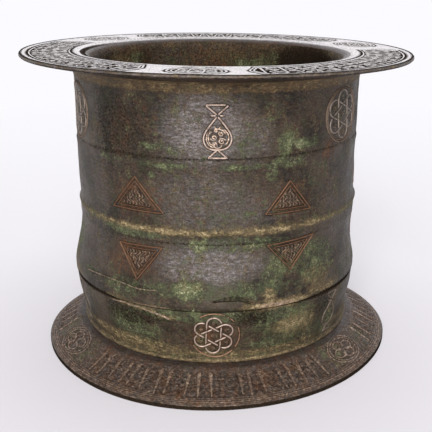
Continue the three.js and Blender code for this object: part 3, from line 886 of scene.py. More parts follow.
# The finish of each metal's wire, and of the kinds of piece whose wire is more rubbed or more tarnished
WIRE_FINISHES: dict[Metal | str, HammeredWireMetal] = {
    Metal.SILVER: HammeredWireMetal("hammered_silver_wire", "#ab998e", "#77665a", 0.4),
    Metal.COPPER: HammeredWireMetal("hammered_copper_wire", "#72533d", "#4a382a", 0.48, metallic=0.4),
    "lower_knot": HammeredWireMetal("rubbed_silver_wire", "#c0aca0", "#8a786b", 0.38),
    "lower_knot_ring": HammeredWireMetal("rubbed_copper_wire", "#96755f", "#604b3c", 0.45, metallic=0.45),
    "upper_knot": HammeredWireMetal("tarnished_silver_wire", "#90857b", "#5e544c", 0.45, metallic=0.5),
    "upper_knot_ring": HammeredWireMetal("tarnished_copper_wire", "#766557", "#4b3f36", 0.5, metallic=0.4),
    "lower_vase": HammeredWireMetal("blackened_silver_wire", "#6b5f55", "#463d34", 0.5, metallic=0.4),
}


# ---------------------------------------------------------------- wire motifs


@dataclass(frozen=True)
class Strand:
    """One run of wire drawn round a motif's origin."""

    path: np.ndarray
    width: float
    closed: bool = False


@dataclass(frozen=True)
class VaseMotif:
    """A vase in silver wire, measured from its neck.

    It has a flared mouth, a pear-shaped belly, a spread foot, and a broken band round the neck.
    """

    scale: float = 1.0
    width: float = 0.82
    filling_shine: float = 0.85  # how rubbed the fine lines inside it are

    def strands(self) -> list[Strand]:
        """Gives the runs of wire."""
        right = [(0.25, -0.5), (2.7, -3.7), (4.6, -6.5), (5.6, -9.0), (5.4, -11.3), (4.4, -13.1), (2.6, -14.2)]
        belly = [(-x, y) for x, y in right] + [(0, -14.5)] + right[::-1]
        lines = [
            resampled([(-0.3, 0.5), (-4.5, 4.2)], 0.5),
            resampled([(0.3, 0.5), (4.4, 4.3)], 0.5),
            resampled([(-4.6, 4.5), (3.3, 4.6)], 0.5),
            resampled([(-2.7, 0.05), (-0.5, 0)], 0.4),
            resampled([(1.0, 0), (2.5, 0.05)], 0.4),
            curve_through(belly),
            resampled([(-0.2, -14.7), (-3.7, -17.9), (3.95, -18.0), (0.3, -14.7)], 0.5),
        ]
        return [Strand(line * self.scale, self.width) for line in lines]

    def filling(self) -> list[np.ndarray]:
        """Gives the fine scrolls chased inside the belly."""
        curls = (
            ((1.7, -10.9), 1.5, 30, 1.3), ((-1.5, -9.2), 1.4, 200, 1.2), ((1.5, -7.6), 1.1, 140, 1.2),
            ((-1.2, -12.0), 0.9, 0, 1.1), ((-0.6, -6.3), 0.9, 60, 1.1),
        )  # fmt: skip
        bows = (
            ((0.3, -8.6), 3.0, 20, 120), ((0.6, -9.2), 3.9, -45, 55), ((0, -11.9), 1.9, 210, 340),
            ((0, -4.6), 1.0, 200, 340),
        )  # fmt: skip
        left = [arc((0, -9.4), 4.5, 150, 250), arc((0, -9.4), 3.8, 145, 255)]
        return [line * self.scale for line in [*left, *(spiral(*c) for c in curls), *(arc(*b) for b in bows)]]


@dataclass(frozen=True)
class TriangleMotif:
    """A triangle of copper wire with a second, thinner strand inside it, measured from its base's middle."""

    direction: int  # 1 points up, -1 down
    base: float = 23.0
    rise: float = 13.6
    inset: float = 1.35
    width: float = 0.54
    thin: float = 0.34
    filling_shine: float = 0.55  # how rubbed the fine lines inside it are

    def outline(self, inset: float) -> np.ndarray:
        """Gives the closed outline, moved inwards."""
        half = self.base / 2
        lean = math.hypot(half, self.rise)
        apex = self.rise - inset * lean / half
        side = half - inset * (half + lean) / self.rise
        corners = np.array([(-side, inset), (side, inset), (0, apex), (-side, inset)])
        corners[:, 1] *= self.direction
        return np.vstack([resampled(corners[i : i + 2], 0.7)[:-1] for i in range(3)])

    def strands(self) -> list[Strand]:
        """Gives the runs of wire."""
        return [Strand(self.outline(0), self.width, True), Strand(self.outline(self.inset), self.thin, True)]

    def filling(self) -> list[np.ndarray]:
        """Gives the short curved dashes chased inside it, in rows that shorten towards the point."""
        lines = []
        for row, (height, count) in enumerate(((2.9, 9), (4.6, 6), (6.2, 5), (7.8, 3), (9.2, 1))):
            for index in range(count):
                x = (index - (count - 1) / 2) * 1.62 + 0.3 * (-1) ** row
                bow = (0.42, -0.3, 0.15, -0.5)[(2 * index + row) % 4]
                tall = 0.62 if (index + row) % 3 else 0.4
                lines.append(curve_through([(x - bow, height - tall), (x + bow, height), (x - bow / 2, height + tall)]))
        return [line * np.array([1, self.direction]) for line in lines]


@dataclass(frozen=True)
class KnotMotif:
    """Three long loops plaited into a six-lobed knot. Each strand stops where another passes over it."""

    STEP = 0.2  # spacing of the points along a loop, mm

    ring_radius: float
    width: float
    length_share: float = 1.68
    breadth_share: float = 0.56
    bulge: float = 1.08  # how much rounder than a half circle the ends of a loop are
    filling_shine: float = 0.5  # how rubbed the fine lines inside it are

    def loop(self, angle: float) -> np.ndarray:
        """Gives one loop, turned by an angle in degrees, its first point not repeated."""
        length, breadth = self.length_share * self.ring_radius, self.breadth_share * self.ring_radius
        reach, radius = (length - breadth) / 2, breadth / 2 * self.bulge
        right, left = arc((reach, 0), radius, -90, 90, self.STEP), arc((-reach, 0), radius, 90, 270, self.STEP)
        return turned(resampled(np.vstack([right, left, right[:1]]), self.STEP)[:-1], angle)

    def strands(self) -> list[Strand]:
        """Gives the runs of wire, cut where they pass under."""
        loops = [self.loop(90 + 60 * k) for k in range(3)]
        gap = self.width * 0.5 + 0.62  # a half width and the bare metal beside it
        runs = []
        for number, path in enumerate(loops):
            stations = []
            for other in (loop for k, loop in enumerate(loops) if k != number):
                distance, _ = nearest(other, path)
                nearer = (distance < np.roll(distance, 1)) & (distance <= np.roll(distance, -1))
                stations += np.flatnonzero(nearer & (distance < self.STEP)).tolist()
            count, keep = len(path), np.ones(len(path), bool)
            for station in sorted(stations)[1::2]:
                keep &= np.abs((np.arange(count) - station + count / 2) % count - count / 2) * self.STEP > gap
            for start in np.flatnonzero(keep & ~np.roll(keep, 1)):
                indexes = (start + np.arange(count)) % count
                stop = int(np.argmin(keep[indexes]))
                runs.append(Strand(resampled(path[indexes[:stop]], 0.5), self.width))
        return runs

    def filling(self) -> list[np.ndarray]:
        """Gives a small curl in each lobe and one in the middle."""
        reach = np.array([self.ring_radius * 0.6, 0])
        curls = [spiral(turned(reach, a), self.ring_radius * 0.09, a, 1) for a in range(30, 390, 60)]
        return [*curls, spiral((0, 0), self.ring_radius * 0.12, 0, 1.2)]


@dataclass(frozen=True)
class RingMotif:
    """The copper ring round a knot, whole or worn to a few arcs, with an inner line where it has one."""

    INNER_SHARE = 0.6  # width of the inner line, in shares of the outer one's

    radius: float
    width: float
    arcs: Rows = ((0, 360),)
    inner: float = 0.0  # how far inside the thin second line runs, 0 for none
    filling_shine: float = 0.0

    def strands(self) -> list[Strand]:
        """Gives the runs of wire."""
        lines = [(self.radius, self.width)]
        if self.inner:
            lines.append((self.radius - self.inner, self.width * self.INNER_SHARE))
        runs = []
        for start, end in self.arcs:
            closed = end - start >= 360
            for radius, width in lines:
                path = arc((0, 0), radius, start, end, 0.7)
                runs.append(Strand(path[:-1] if closed else path, width, closed))
        return runs

    def filling(self) -> list[np.ndarray]:
        """Gives nothing, since a ring holds only its knot."""
        return []


Motif = VaseMotif | TriangleMotif | KnotMotif | RingMotif


@dataclass(frozen=True)
class WireOrder:
    """A motif's wire that waits to be laid once its groove is cut."""

    node: str
    face: TurnedFace
    runs: list[Strand]
    metal: Metal


class WireInlay:
    """Lays hammered wire along strands, with one Geometry Nodes tree for all of it."""

    SEAT = 0.18  # how far the wire's middle lies under the face, mm
    HALF_THICKNESS = 0.34  # mm
    END_SHARE = 0.62  # share of its width that a hammered-down end has
    INPUTS = {
        "Thickness share": ("NodeSocketFloat", 0.85),
        "Hammering": ("NodeSocketFloat", 0.05 * MM),
        "Dent spacing": ("NodeSocketFloat", 1.6 * MM),
        "Sides": ("NodeSocketInt", 10),
        "Seed": ("NodeSocketInt", 11),
    }

    def __init__(self) -> None:
        """Builds the tree: strands become curves whose profile faces out of the metal, then are dented."""
        self.tree = tree = bpy.data.node_groups.new("hammered_wire", "GeometryNodeTree")
        face = tree.interface
        face.new_socket("Geometry", in_out="INPUT", socket_type="NodeSocketGeometry")
        face.new_socket("Geometry", in_out="OUTPUT", socket_type="NodeSocketGeometry")
        for name, (kind, default) in self.INPUTS.items():
            face.new_socket(name, in_out="INPUT", socket_type=kind).default_value = default
        face.new_socket("Metal", in_out="INPUT", socket_type="NodeSocketMaterial")
        given = add(tree, "NodeGroupInput").outputs
        strands = add(tree, "GeometryNodeMeshToCurve", {"Mesh": given["Geometry"]})
        outwards = add(tree, "GeometryNodeInputNamedAttribute", {"Name": "out"}, data_type="FLOAT_VECTOR")
        facing = add(tree, "GeometryNodeSetCurveNormal", {"Curve": strands, "Normal": outwards}, mode="FREE")
        circle = add(tree, "GeometryNodeCurvePrimitiveCircle", {"Resolution": given["Sides"], "Radius": 1.0})
        shape = add(tree, "ShaderNodeCombineXYZ", {"X": given["Thickness share"], "Y": 1.0, "Z": 1.0})
        flattened = add(tree, "GeometryNodeTransform", {"Geometry": circle, "Scale": shape})
        width = add(tree, "GeometryNodeInputNamedAttribute", {"Name": "half_width"}, data_type="FLOAT")
        sweep = {"Curve": facing, "Profile Curve": flattened, "Scale": width, "Fill Caps": True}
        swept = add(tree, "GeometryNodeCurveToMesh", sweep)
        position, normal = add(tree, "GeometryNodeInputPosition"), add(tree, "GeometryNodeInputNormal")
        scale = add(tree, "ShaderNodeMath", {0: 1.0, 1: given["Dent spacing"]}, operation="DIVIDE")
        blows = {"Vector": position, "W": given["Seed"], "Scale": scale, "Detail": 1.0}
        dents = add(tree, "ShaderNodeTexNoise", blows, noise_dimensions="4D")
        centred = add(tree, "ShaderNodeMath", {0: dents, 1: 0.5}, operation="SUBTRACT")
        blow = add(tree, "ShaderNodeMath", {0: centred, 1: given["Hammering"]}, operation="MULTIPLY")
        push = add(tree, "ShaderNodeVectorMath", {0: normal, "Scale": blow}, operation="SCALE")
        hammered = add(tree, "GeometryNodeSetPosition", {"Geometry": swept, "Offset": push})
        smooth = add(tree, "GeometryNodeSetShadeSmooth", {"Geometry": hammered})
        real = add(tree, "GeometryNodeRealizeInstances", {"Geometry": smooth})
        finished = add(tree, "GeometryNodeSetMaterial", {"Geometry": real, "Material": given["Metal"]})
        add(tree, "NodeGroupOutput", {"Geometry": finished})

    def lay(self, order: WireOrder, hand: HandWork, metal: bpy.types.Material) -> bpy.types.Object:
        """Lays the wire of one CAD node.

        Args:
            order: Where the wire goes.
            hand: Hand work that the face went through too.
            metal: Material of the wire.

        Returns:
            The finished piece.
        """
        points, outs, halves, edges, count = [], [], [], [], 0
        for run in order.runs:
            azimuth, v = run.path[:, 0] / order.face.reference_radius, run.path[:, 1]
            low, high = (
                hand.bend(in_space(azimuth, *order.face.place(v, lift))) for lift in (-self.SEAT, 1 - self.SEAT)
            )
            ends = np.ones(len(low))
            if not run.closed:
                ends[[0, -1]] = self.END_SHARE
            points.append(low)
            outs.append(high - low)
            halves.append(run.width / 2 * ends)
            first, count = count, count + len(low)
            edges += [(i, i + 1) for i in range(first, count - 1)] + [(count - 1, first)] * run.closed
        mesh = bpy.data.meshes.new(f"wire_{order.node}_strands")
        mesh.from_pydata((np.vstack(points) * MM).tolist(), edges, [])
        store(mesh, "out", np.vstack(outs))
        store(mesh, "half_width", np.concatenate(halves) * MM)
        piece = linked(f"wire_{order.node}", mesh)
        modifier = piece.modifiers.new("hammered_wire", "NODES")
        modifier.node_group = self.tree
        sockets = {s.name: s.identifier for s in self.tree.interface.items_tree if s.in_out == "INPUT"}
        half_width = np.mean([run.width / 2 for run in order.runs])
        modifier[sockets["Thickness share"]] = float(self.HALF_THICKNESS / half_width)
        modifier[sockets["Metal"]] = metal
        finished = piece.evaluated_get(bpy.context.evaluated_depsgraph_get())
        piece.data = bpy.data.meshes.new_from_object(finished)
        piece.modifiers.clear()
        bpy.data.meshes.remove(mesh)
        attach(piece, "root")
        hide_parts(order.node)
        LOG.info("%s: %d faces", piece.name, len(piece.data.polygons))
        return piece


# ---------------------------------------------------------------- castings


def between(azimuths: Iterable[float]) -> list[tuple[float, float]]:
    """Gives where each gap between azimuths starts and ends, in degrees."""
    turns = sorted(azimuth % 360 for azimuth in azimuths)
    return list(zip(turns, [*turns[1:], turns[0] + 360]))


def quarter(start: tuple[float, float], across: float, up: float, count: int) -> Rows:
    """Gives a quarter of an ellipse that leaves its start upright, or downwards where up is negative.

    Args:
        start: Radius and height of its first corner.
        across: How far it goes in radius.
        up: How far it goes in height.
        count: Number of corners.

    Returns:
        Radius and height of each corner.
    """
    angles = np.linspace(0, math.pi / 2, count)
    return tuple((start[0] + across * (1 - math.cos(t)), start[1] + up * math.sin(t)) for t in angles)


@dataclass
class Casting:
    """A turned bronze casting with wire hammered into it."""

    NODE = ""  # CAD node that it stands for
    CLOUD = 14.0  # size of the slow changes of tone in its skin, mm
    GROOVE_ROOM = 0.22  # how much wider than its wire a groove is
    GROOVE_DEPTH = 0.34
    FINE_WIDTH = 0.34
    FINE_DEPTH = 0.12

    bore_radius: float = 57.2
    orders: list[WireOrder] = field(default_factory=list)

    def inlay(
        self, face: TurnedFace, node: str, motif: Motif, place: tuple[float, float], metal: Metal, turn: float = 0
    ) -> None:
        """Cuts a motif's grooves and fine lines into a face, and orders its wire.

        Args:
            face: Face that carries the motif.
            node: CAD node that the wire stands for.
            motif: The motif.
            place: Azimuth of its origin, degrees, and its place along the profile.
            metal: Metal of the wire.
            turn: Turn of the motif, degrees anticlockwise.
        """
        runs = [Strand(face.draw(*place, s.path, turn), s.width, s.closed) for s in motif.strands()]
        for run in runs:
            path = np.vstack([run.path, run.path[:1]]) if run.closed else run.path
            face.strokes.append(Stroke(path, Cut.GROOVE, run.width + self.GROOVE_ROOM, self.GROOVE_DEPTH))
        for line in motif.filling():
            path = face.draw(*place, line, turn)
            face.chase(path, self.FINE_WIDTH, self.FINE_DEPTH, shine=motif.filling_shine)
        self.orders.append(WireOrder(node, face, runs, metal))

    def spans(self) -> list[Span]:
        """Gives the profile of the casting."""
        raise NotImplementedError

    def build(self, hand: HandWork) -> bpy.types.Object:
        """Makes the casting.

        Args:
            hand: Hand work and age of the bowl.

        Returns:
            The piece, dressed.
        """
        turned_mesh = TurnedMesh()
        turned_mesh.follow(self.spans())
        piece = turned_mesh.to_object(f"{self.NODE}_casting", hand.bend)
        piece.data.materials.append(PatinatedBronze(f"patinated_bronze_{self.NODE}", cloud=self.CLOUD).make())
        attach(piece, "root")
        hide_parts(self.NODE)
        LOG.info("%s: %d triangles", piece.name, len(piece.data.polygons))
        return piece


@dataclass
class BarrelCasting(Casting):
    """The upper casting: open at both ends, with the rim, the cove under it, two ridges and a swelling."""

    NODE = "barrel"

    rim_radius: float = 90
    rim_height: float = 140
    mouth_radius: float = 63.6
    socket_radius: float = 62.1
    seam_height: float = 37.4
    socket_top: float = 49.4
    wall_foot: tuple[float, float] = (69.0, 37.8)  # radius and height
    wall_top: tuple[float, float] = (66.5, 128.6)
    upper_vase_azimuths: tuple[float, ...] = (0.2, 116, 233)
    upper_knot_azimuths: tuple[float, ...] = (55.3, 174.5, 290.8)
    triangle_azimuths: tuple[float, ...] = (28, 86.5, 145, 204, 262.5, 329)
    # How the hand strayed at each triangle: degrees round, mm up, degrees turned, shares of its base and its rise
    triangle_up_fits: Rows = (
        (-0.5, -1.1, -0.9, 0.97, 0.98), (0.3, -0.4, 1.2, 1.05, 1.0), (-0.4, 0.2, -1.2, 0.98, 1.05),
        (0.2, -0.6, 1.5, 1.02, 0.97), (0.4, 0, -0.8, 1.06, 1.03), (0.1, -0.5, 0.4, 1.13, 1.07),
    )  # fmt: skip
    triangle_down_fits: Rows = (
        (0.8, 1.5, 2.7, 1.02, 0.93), (-0.4, 0.5, -1.3, 0.98, 1.04), (0.5, -0.3, 0.9, 1.04, 0.98),
        (0, 0.7, -1.6, 0.97, 1.0), (-0.5, 0.2, 1.1, 1.0, 1.05), (0.8, -0.5, 1.9, 0.96, 1.09),
    )  # fmt: skip
    triangle_size: tuple[float, float] = (23, 13.6)  # base and rise
    ridge_height: float = 71
    triangle_gap: float = 7.3  # from the ridge to a triangle's base
    roundel_azimuths: tuple[float, ...] = (-5.6, 114, 229)
    panel_depth: float = 0.18  # of the ground beside the rim's lines; the field itself lies lower than its borders
    panel_middle: float = 12.9  # how far in from the edge the middle of the rim's ornament runs

    def wall(self) -> TurnedFace:
        """Gives the wall with its swelling, its two ridges, and the motifs' grooves."""
        keys = (
            (37.8, 69.0), (40.5, 69.0), (42.5, 68.7), (45, 68.1), (47.5, 67.6), (51, 66.95), (55, 66.3), (59, 66.0),
            (63, 65.95), (65.6, 66.2), (66.4, 66.42), (66.8, 66.22), (67.3, 66.42), (68.6, 66.4), (70.0, 66.6),
            (71.0, 66.95), (71.7, 67.08), (72.3, 66.92), (72.9, 66.3), (73.5, 66.22), (76, 66.1), (84, 66.1),
            (95, 66.2), (98.2, 66.28), (99.4, 66.55), (100.2, 66.6), (101.0, 66.4), (101.8, 66.2), (105, 66.3),
            (114, 66.2), (121, 66.25), (125, 66.45), (128.6, 66.5),
        )  # fmt: skip
        heights = np.arange(self.wall_foot[1], self.wall_top[1] + 0.01, 0.2)
        radii = np.interp(heights, *zip(*keys))
        radii[1:-1] = np.convolve(radii, np.array([1, 2, 1]) / 4, "valid")  # rounds the corners
        profile = np.column_stack([heights, radii, heights])
        face = TurnedFace(profile, reference_radius=66.2, cut_azimuth=189, grain=1.35, ground_tone=0.42)
        for index, azimuth in enumerate(self.upper_vase_azimuths, 1):
            self.inlay(face, f"upper_vase_{index}", VaseMotif(), (azimuth, 120), Metal.SILVER)
        for index, azimuth in enumerate(self.upper_knot_azimuths, 1):
            place = (azimuth, 115.4)
            self.inlay(face, f"upper_knot_{index}", KnotMotif(13.2, 0.62), place, Metal.SILVER, 4)
            self.inlay(face, f"upper_knot_ring_{index}", RingMotif(13.1, 0.56, inner=1.0), place, Metal.COPPER)
        base, rise = self.triangle_size
        for name, direction, fits in (("up", 1, self.triangle_up_fits), ("down", -1, self.triangle_down_fits)):
            for index, (azimuth, (aside, up, turn, broad, tall)) in enumerate(zip(self.triangle_azimuths, fits), 1):
                motif = TriangleMotif(direction, base * broad, rise * tall)
                place = (azimuth + aside, self.ridge_height + self.triangle_gap * direction + up)
                self.inlay(face, f"triangle_{name}_{index}", motif, place, Metal.COPPER, turn)
        # An open slot and a crease along the joint
        slot = curve_through([(-8, -0.1), (-5, 0.5), (0, 0.8), (3.5, 0.4), (7, -1.6)])
        crease = curve_through([(-22, -0.9), (-14, -0.1), (-7, 0.3), (3, 0.3), (9, -0.3), (14, -0.4), (20, 0.2)])
        for slot_azimuth, crease_azimuth in ((7, -39), (131, 162)):
            path = face.draw(slot_azimuth, 42.2, slot)
            half = len(path) // 2
            for part, taper in ((path[: half + 1], (0.3, 1.0)), (path[half:], (1.0, 0.35))):
                face.strokes.append(Stroke(part, Cut.GROOVE, 2.0, 0.9, taper))
            face.chase(face.draw(crease_azimuth, 45, crease), 0.34, 0.1, shine=0.62)
        return face

    def rim_top(self) -> TurnedFace:
        """Gives the flat top of the rim: border beads, three lancet panels and three roundels. v runs inwards."""
        # How far in from the edge, and how far below the top: beads, field, inner bead and the turn into the lip
        keys = (
            (0, 0), (0.9, 0), (1.2, 0.3), (1.6, 0.3), (1.9, 0.02), (2.7, 0.02), (2.95, 0.35), (3.3, 0.35), (3.6, 0.08),
            (3.9, 0.34), (21.7, 0.34), (22.0, 0.1), (22.25, 0.26), (22.5, 0.26), (22.75, 0.04), (24.4, 0.1),
            (25.2, 0.32), (25.9, 0.75),
        )  # fmt: skip
        v = np.arange(0, 25.91, 0.1)
        profile = np.column_stack([v, self.rim_radius - 0.5 - v, self.rim_height - np.interp(v, *zip(*keys))])
        face = TurnedFace(profile, reference_radius=77.5, cut_azimuth=94, grain=1.5, ground_tone=1.1)
        oval, depth = np.array([1.3, 1.0]), self.panel_depth
        for azimuth in self.roundel_azimuths:
            for radius, width in ((8.8, 0.7), (7.5, 0.45)):
                circle = face.draw(azimuth, self.panel_middle, arc((0, 0), radius, 0, 360) * oval)
                face.chase(circle, width, depth, shine=0, reach=0.6)
            for run in KnotMotif(7.4, 0.6).strands():
                path = face.draw(azimuth, self.panel_middle, run.path * oval)
                face.chase(path, 0.62, depth, shine=0, reach=0.9)
        for start, end in between(self.roundel_azimuths):
            self.lancet_panel(face, start + 15.2, end - 16.6)
        return face

    def lancet_panel(self, face: TurnedFace, start: float, end: float) -> None:
        """Draws one panel: bowed double ends, border lines, a row of slanted lancets, and curls and leaves between.

        Args:
            face: Top of the rim.
            start: Azimuth where the panel starts, degrees.
            end: Azimuth where it ends.
        """
        depth, middle, half, bow = self.panel_depth, self.panel_middle, 8.8, 3.4
        low, high = middle - half, middle + half
        left, right = math.radians(start) * face.reference_radius, math.radians(end) * face.reference_radius
        for inset in (0.0, 1.6):
            for near, side in ((left + inset, 1), (right - inset, -1)):
                end_line = curve_through([(near + side * bow, low), (near, middle), (near + side * bow, high)])
                face.chase(end_line, 0.6, depth, shine=0, reach=0.6)
        for v in (low, high):
            face.chase(resampled([(left + bow, v), (right - bow, v)], 1.2), 0.4, depth, shine=0, reach=0.8)
        first, last = left + 5.2, right - 5.2
        count = round((last - first) / 4.3)
        pitch = (last - first) / count
        for index in range(count + 1):
            u = first + index * pitch
            lean = (0.9, -0.6, 1.3, 0.2, -1.1)[index % 5]
            foot, top = low + (1.2, 2.6, 1.8)[index % 3], high - (1.2, 0.9)[index % 2]
            lancet = resampled([(u - lean, foot), (u + lean, top)], 0.8)
            face.chase(lancet, 0.95, depth, taper=(0.35, 1.0), shine=0, reach=2.2)
        for index in range(count):
            u = first + (index + 0.5) * pitch
            side = 1 if index % 2 else -1
            for v, kind in ((low + 2.2, index), (middle - 2.6, index + 1), (middle + 2.4, index + 2)):
                if kind % 3 == 0:
                    path = spiral((u, v), 1.3, 90 * index, 1.1 * side)
                elif kind % 3 == 1:
                    path = curve_through([(u - 0.7 * side, v - 1.4), (u + 0.4 * side, v), (u - 0.2 * side, v + 1.4)])
                else:
                    path = arc((u, v), 0.45, 0, 360, 0.3)
                face.chase(path, 0.42, 0.16, shine=0, reach=2.2)

    def spans(self) -> list[Span]:
        """Gives the casting's profile from the socket's lower edge, up the wall, over the rim and down the bore."""
        seam, z, edge = self.seam_height, self.rim_height, self.rim_radius
        bore, mouth, socket = self.bore_radius, self.mouth_radius, self.socket_radius
        cove = quarter(self.wall_top, 5.9, 6, 8)
        lip = quarter((mouth - 6.4, z - 5.55), 6.4, 4.8, 8)[::-1]
        # Painted shade for the faces in the joint
        joint_shade = {GROUND_AND_SHADE: 0.7}
        gold = {OCHRE: 0.64, RUST: 0.8, VERDIGRIS: 0.3}
        inside = {RUST: 0.8, OCHRE: 0.42, VERDIGRIS: 0.42, GROUND_AND_SHADE: 0.38}
        skin = {RUST: 0.42, VERDIGRIS: 0.38, OCHRE: 0.25, SMOKE: 0.25}
        edge_skin = {RUST: 0.2, SMOKE: 0.8, OCHRE: 0.5, WORN: 0.2}
        under = ((edge - 0.5, z - 1.8), (edge, z - 1.3))
        return [
            Span(((socket, seam), (68.6, seam)), 3, joint_shade),
            Span(((68.6, seam), self.wall_foot), 1, {VERDIGRIS: 0.5}),
            Span((self.wall_foot, self.wall_top), 1, skin, face=self.wall()),
            Span(cove, 2, gold),
            # Painted shade under the rim
            Span((cove[-1], under[0]), 2.5, {RUST: 0.5, GROUND_AND_SHADE: 0.35}, patches=()),
            Span(under, 1, {RUST: 0.4, GROUND_AND_SHADE: 0.5, SMOKE: 0.5}, patches=()),
            Span((under[1], (edge, z - 1), (edge, z - 0.6)), 1, edge_skin, patches=()),
            Span(((edge, z - 0.6), (edge - 0.5, z)), 1, {GROUND_AND_SHADE: 0.8}, patches=()),
            Span(((edge - 0.5, z), (mouth, z - 0.75)), 1, {POLISH: 1.0}, face=self.rim_top(), patches=()),
            Span(lip[:2], 0.8, {POLISH: 0.75, SMOKE: 0.9}, patches=LIP_SHADE),
            Span(lip[1:3], 0.5, {POLISH: 0.15, SMOKE: 0.8, RUST: 0.4}, patches=LIP_SHADE),
            Span(lip[2:4], 0.5, {SMOKE: 0.6, RUST: 0.6}, patches=()),
            Span((*lip[3:], (bore, 120)), 1.5, inside, patches=INSIDE),
            Span(((bore, 120), (bore, self.socket_top)), 3, inside, patches=()),
            Span(((bore, self.socket_top), (socket, self.socket_top), (socket, seam)), 4, joint_shade, patches=()),
        ]


@dataclass
class FootCasting(Casting):
    """The lower casting: resting ring, skirt with its frieze, bead, collar, spigot and dished floor."""

    NODE = "foot"
    CLOUD = 13.0

    foot_radius: float = 85.2
    skirt_foot: tuple[float, float] = (84.7, 1.9)  # radius and height
    skirt_top: tuple[float, float] = (68.9, 11.0)
    collar_foot: tuple[float, float] = (65.4, 14)
    collar_top: tuple[float, float] = (68.6, 37.1)
    spigot_radius: float = 61.8
    spigot_top: float = 49.1
    floor_height: float = 16.0
    floor_corner: float = 20.0
    lower_knot_azimuths: tuple[float, ...] = (-0.5, 116, 233)
    lower_vase_azimuths: tuple[float, ...] = (52, 174.5, 292)
    roundel_azimuths: tuple[float, ...] = (-62, 52.6, 176)
    # For each roundel, how far up the skirt its middle is, and its breadth and height over those of a round one
    roundel_fits: Rows = ((10.9, 1.75, 1.1), (11.3, 1.65, 1.1), (10.6, 1.5, 1.0))
    # Azimuths of the frieze's lancets on the side that the picture shows
    lancet_azimuths: tuple[float, ...] = (
        -44, -40.5, -36, -31, -28, -24, -19, -15.5, -8.9, -5.5, -1.6, 8.3, 11.3, 15.3, 22, 25.5, 30, 34, 38,
    )  # fmt: skip
    # How far up the skirt each border line runs, its width, and how rubbed it is
    border_lines: Rows = (
        (0.85, 0.3, 0.5), (1.7, 0.34, 0.62), (2.65, 0.34, 0.55), (3.6, 0.26, 0.45),
    )  # fmt: skip

    def collar(self) -> TurnedFace:
        """Gives the collar between bead and seam, with its knots and vases."""
        keys = (
            (14, 65.4), (16, 65.5), (20, 66.1), (25.9, 67.2), (28.1, 67.7), (30.3, 68.1), (32.4, 68.3), (34.6, 68.5),
            (36.5, 68.65), (37.1, 68.6),
        )  # fmt: skip
        heights = np.arange(14, 37.11, 0.3)
        profile = np.column_stack([heights, np.interp(heights, *zip(*keys)), heights])
        face = TurnedFace(profile, reference_radius=67.6, cut_azimuth=210, grain=1.35, ground_tone=0.4)
        worn_arcs = ((-34, 22), (40, 58), (66, 124), (208, 316))
        for index, azimuth in enumerate(self.lower_knot_azimuths, 1):
            self.inlay(face, f"lower_knot_{index}", KnotMotif(10.4, 0.66), (azimuth, 25.55), Metal.SILVER, -4)
            ring = RingMotif(10.9, 0.56, worn_arcs)
            self.inlay(face, f"lower_knot_ring_{index}", ring, (azimuth + 0.4, 25.6), Metal.COPPER)
        for index, azimuth in enumerate(self.lower_vase_azimuths, 1):
            vase = VaseMotif(0.878, 0.7, filling_shine=0.22)
            self.inlay(face, f"lower_vase_{index}", vase, (azimuth, 31.1), Metal.SILVER)
        # A ragged lip of the joint that was hammered down over the collar
        lip = [(-17, 35.5), (-12, 36), (-6.4, 36.5), (-2, 36.0), (1.5, 36.2), (5, 35.5), (8.6, 34.7), (12, 34.1)]
        lip = curve_through([*lip, (15.5, 32.9)])
        for azimuth in (-30, 95):
            face.chase(face.draw(azimuth, 0, lip), 0.95, 0.2, taper=(0.3, 0.9), shine=0.66)
        return face

    def skirt(self) -> TurnedFace:
        """Gives the flared skirt with its frieze. v runs up it from the outer edge."""
        (low_radius, low), (top_radius, top) = self.skirt_foot, self.skirt_top
        length = math.hypot(low_radius - top_radius, top - low)
        v = np.append(np.arange(0, length, 0.1), length)
        share = v / length
        hollow = 0.3 * np.sin(math.pi * share)  # the skirt is slightly dished along its slope
        border = 0.25 * np.exp(-(((v - 16.3) / 0.28) ** 2))  # a cut line above the frieze
        height = low + (top - low) * share - hollow - border
        profile = np.column_stack([v, low_radius + (top_radius - low_radius) * share, height])
        face = TurnedFace(profile, reference_radius=77.5, cut_azimuth=187, grain=1.35, ground_tone=0.4)
        ends = [face.reference_radius * math.radians(face.cut_azimuth + a) for a in (0.2, 359.8)]
        for at, width, shine in self.border_lines:
            face.chase(resampled([(u, at) for u in ends], 1), width, 0.14, shine=shine)
        for azimuth, fit in zip(self.roundel_azimuths, self.roundel_fits):
            self.roundel(face, azimuth, *fit)
        for start, end in between(self.roundel_azimuths):
            self.frieze(face, start + 11, end - 11)
        return face

    @staticmethod
    def roundel(face: TurnedFace, azimuth: float, height: float, broad: float, tall: float) -> None:
        """Draws a four-lobed knot in a double outline.

        Args:
            face: The skirt.
            azimuth: Azimuth of its middle, degrees.
            height: How far up the skirt its middle is.
            broad: Its breadth over that of a round one.
            tall: Its height over that of a round one.
        """
        lines = [(arc((0, 0), 6.6, 0, 360), 0.42, 0.6), (arc((0, 0), 5.6, 0, 360), 0.34, 0.6)]
        for angle in (20, 110, 200, 290):
            centre = turned(np.array([2.6, 0]), angle)
            lines.append((arc(centre, 2.1, angle - 150, angle + 150), 0.44, 0.62))
        for path, width, shine in lines:
            face.chase(face.draw(azimuth, height, path * (broad, tall)), width, 0.12, shine=shine)

    def frieze(self, face: TurnedFace, start: float, end: float) -> None:
        """Draws the lancets, and the curls and dots at their feet, between two roundels.

        Args:
            face: The skirt.
            start: Azimuth where this length of frieze starts, degrees.
            end: Azimuth where it ends.
        """
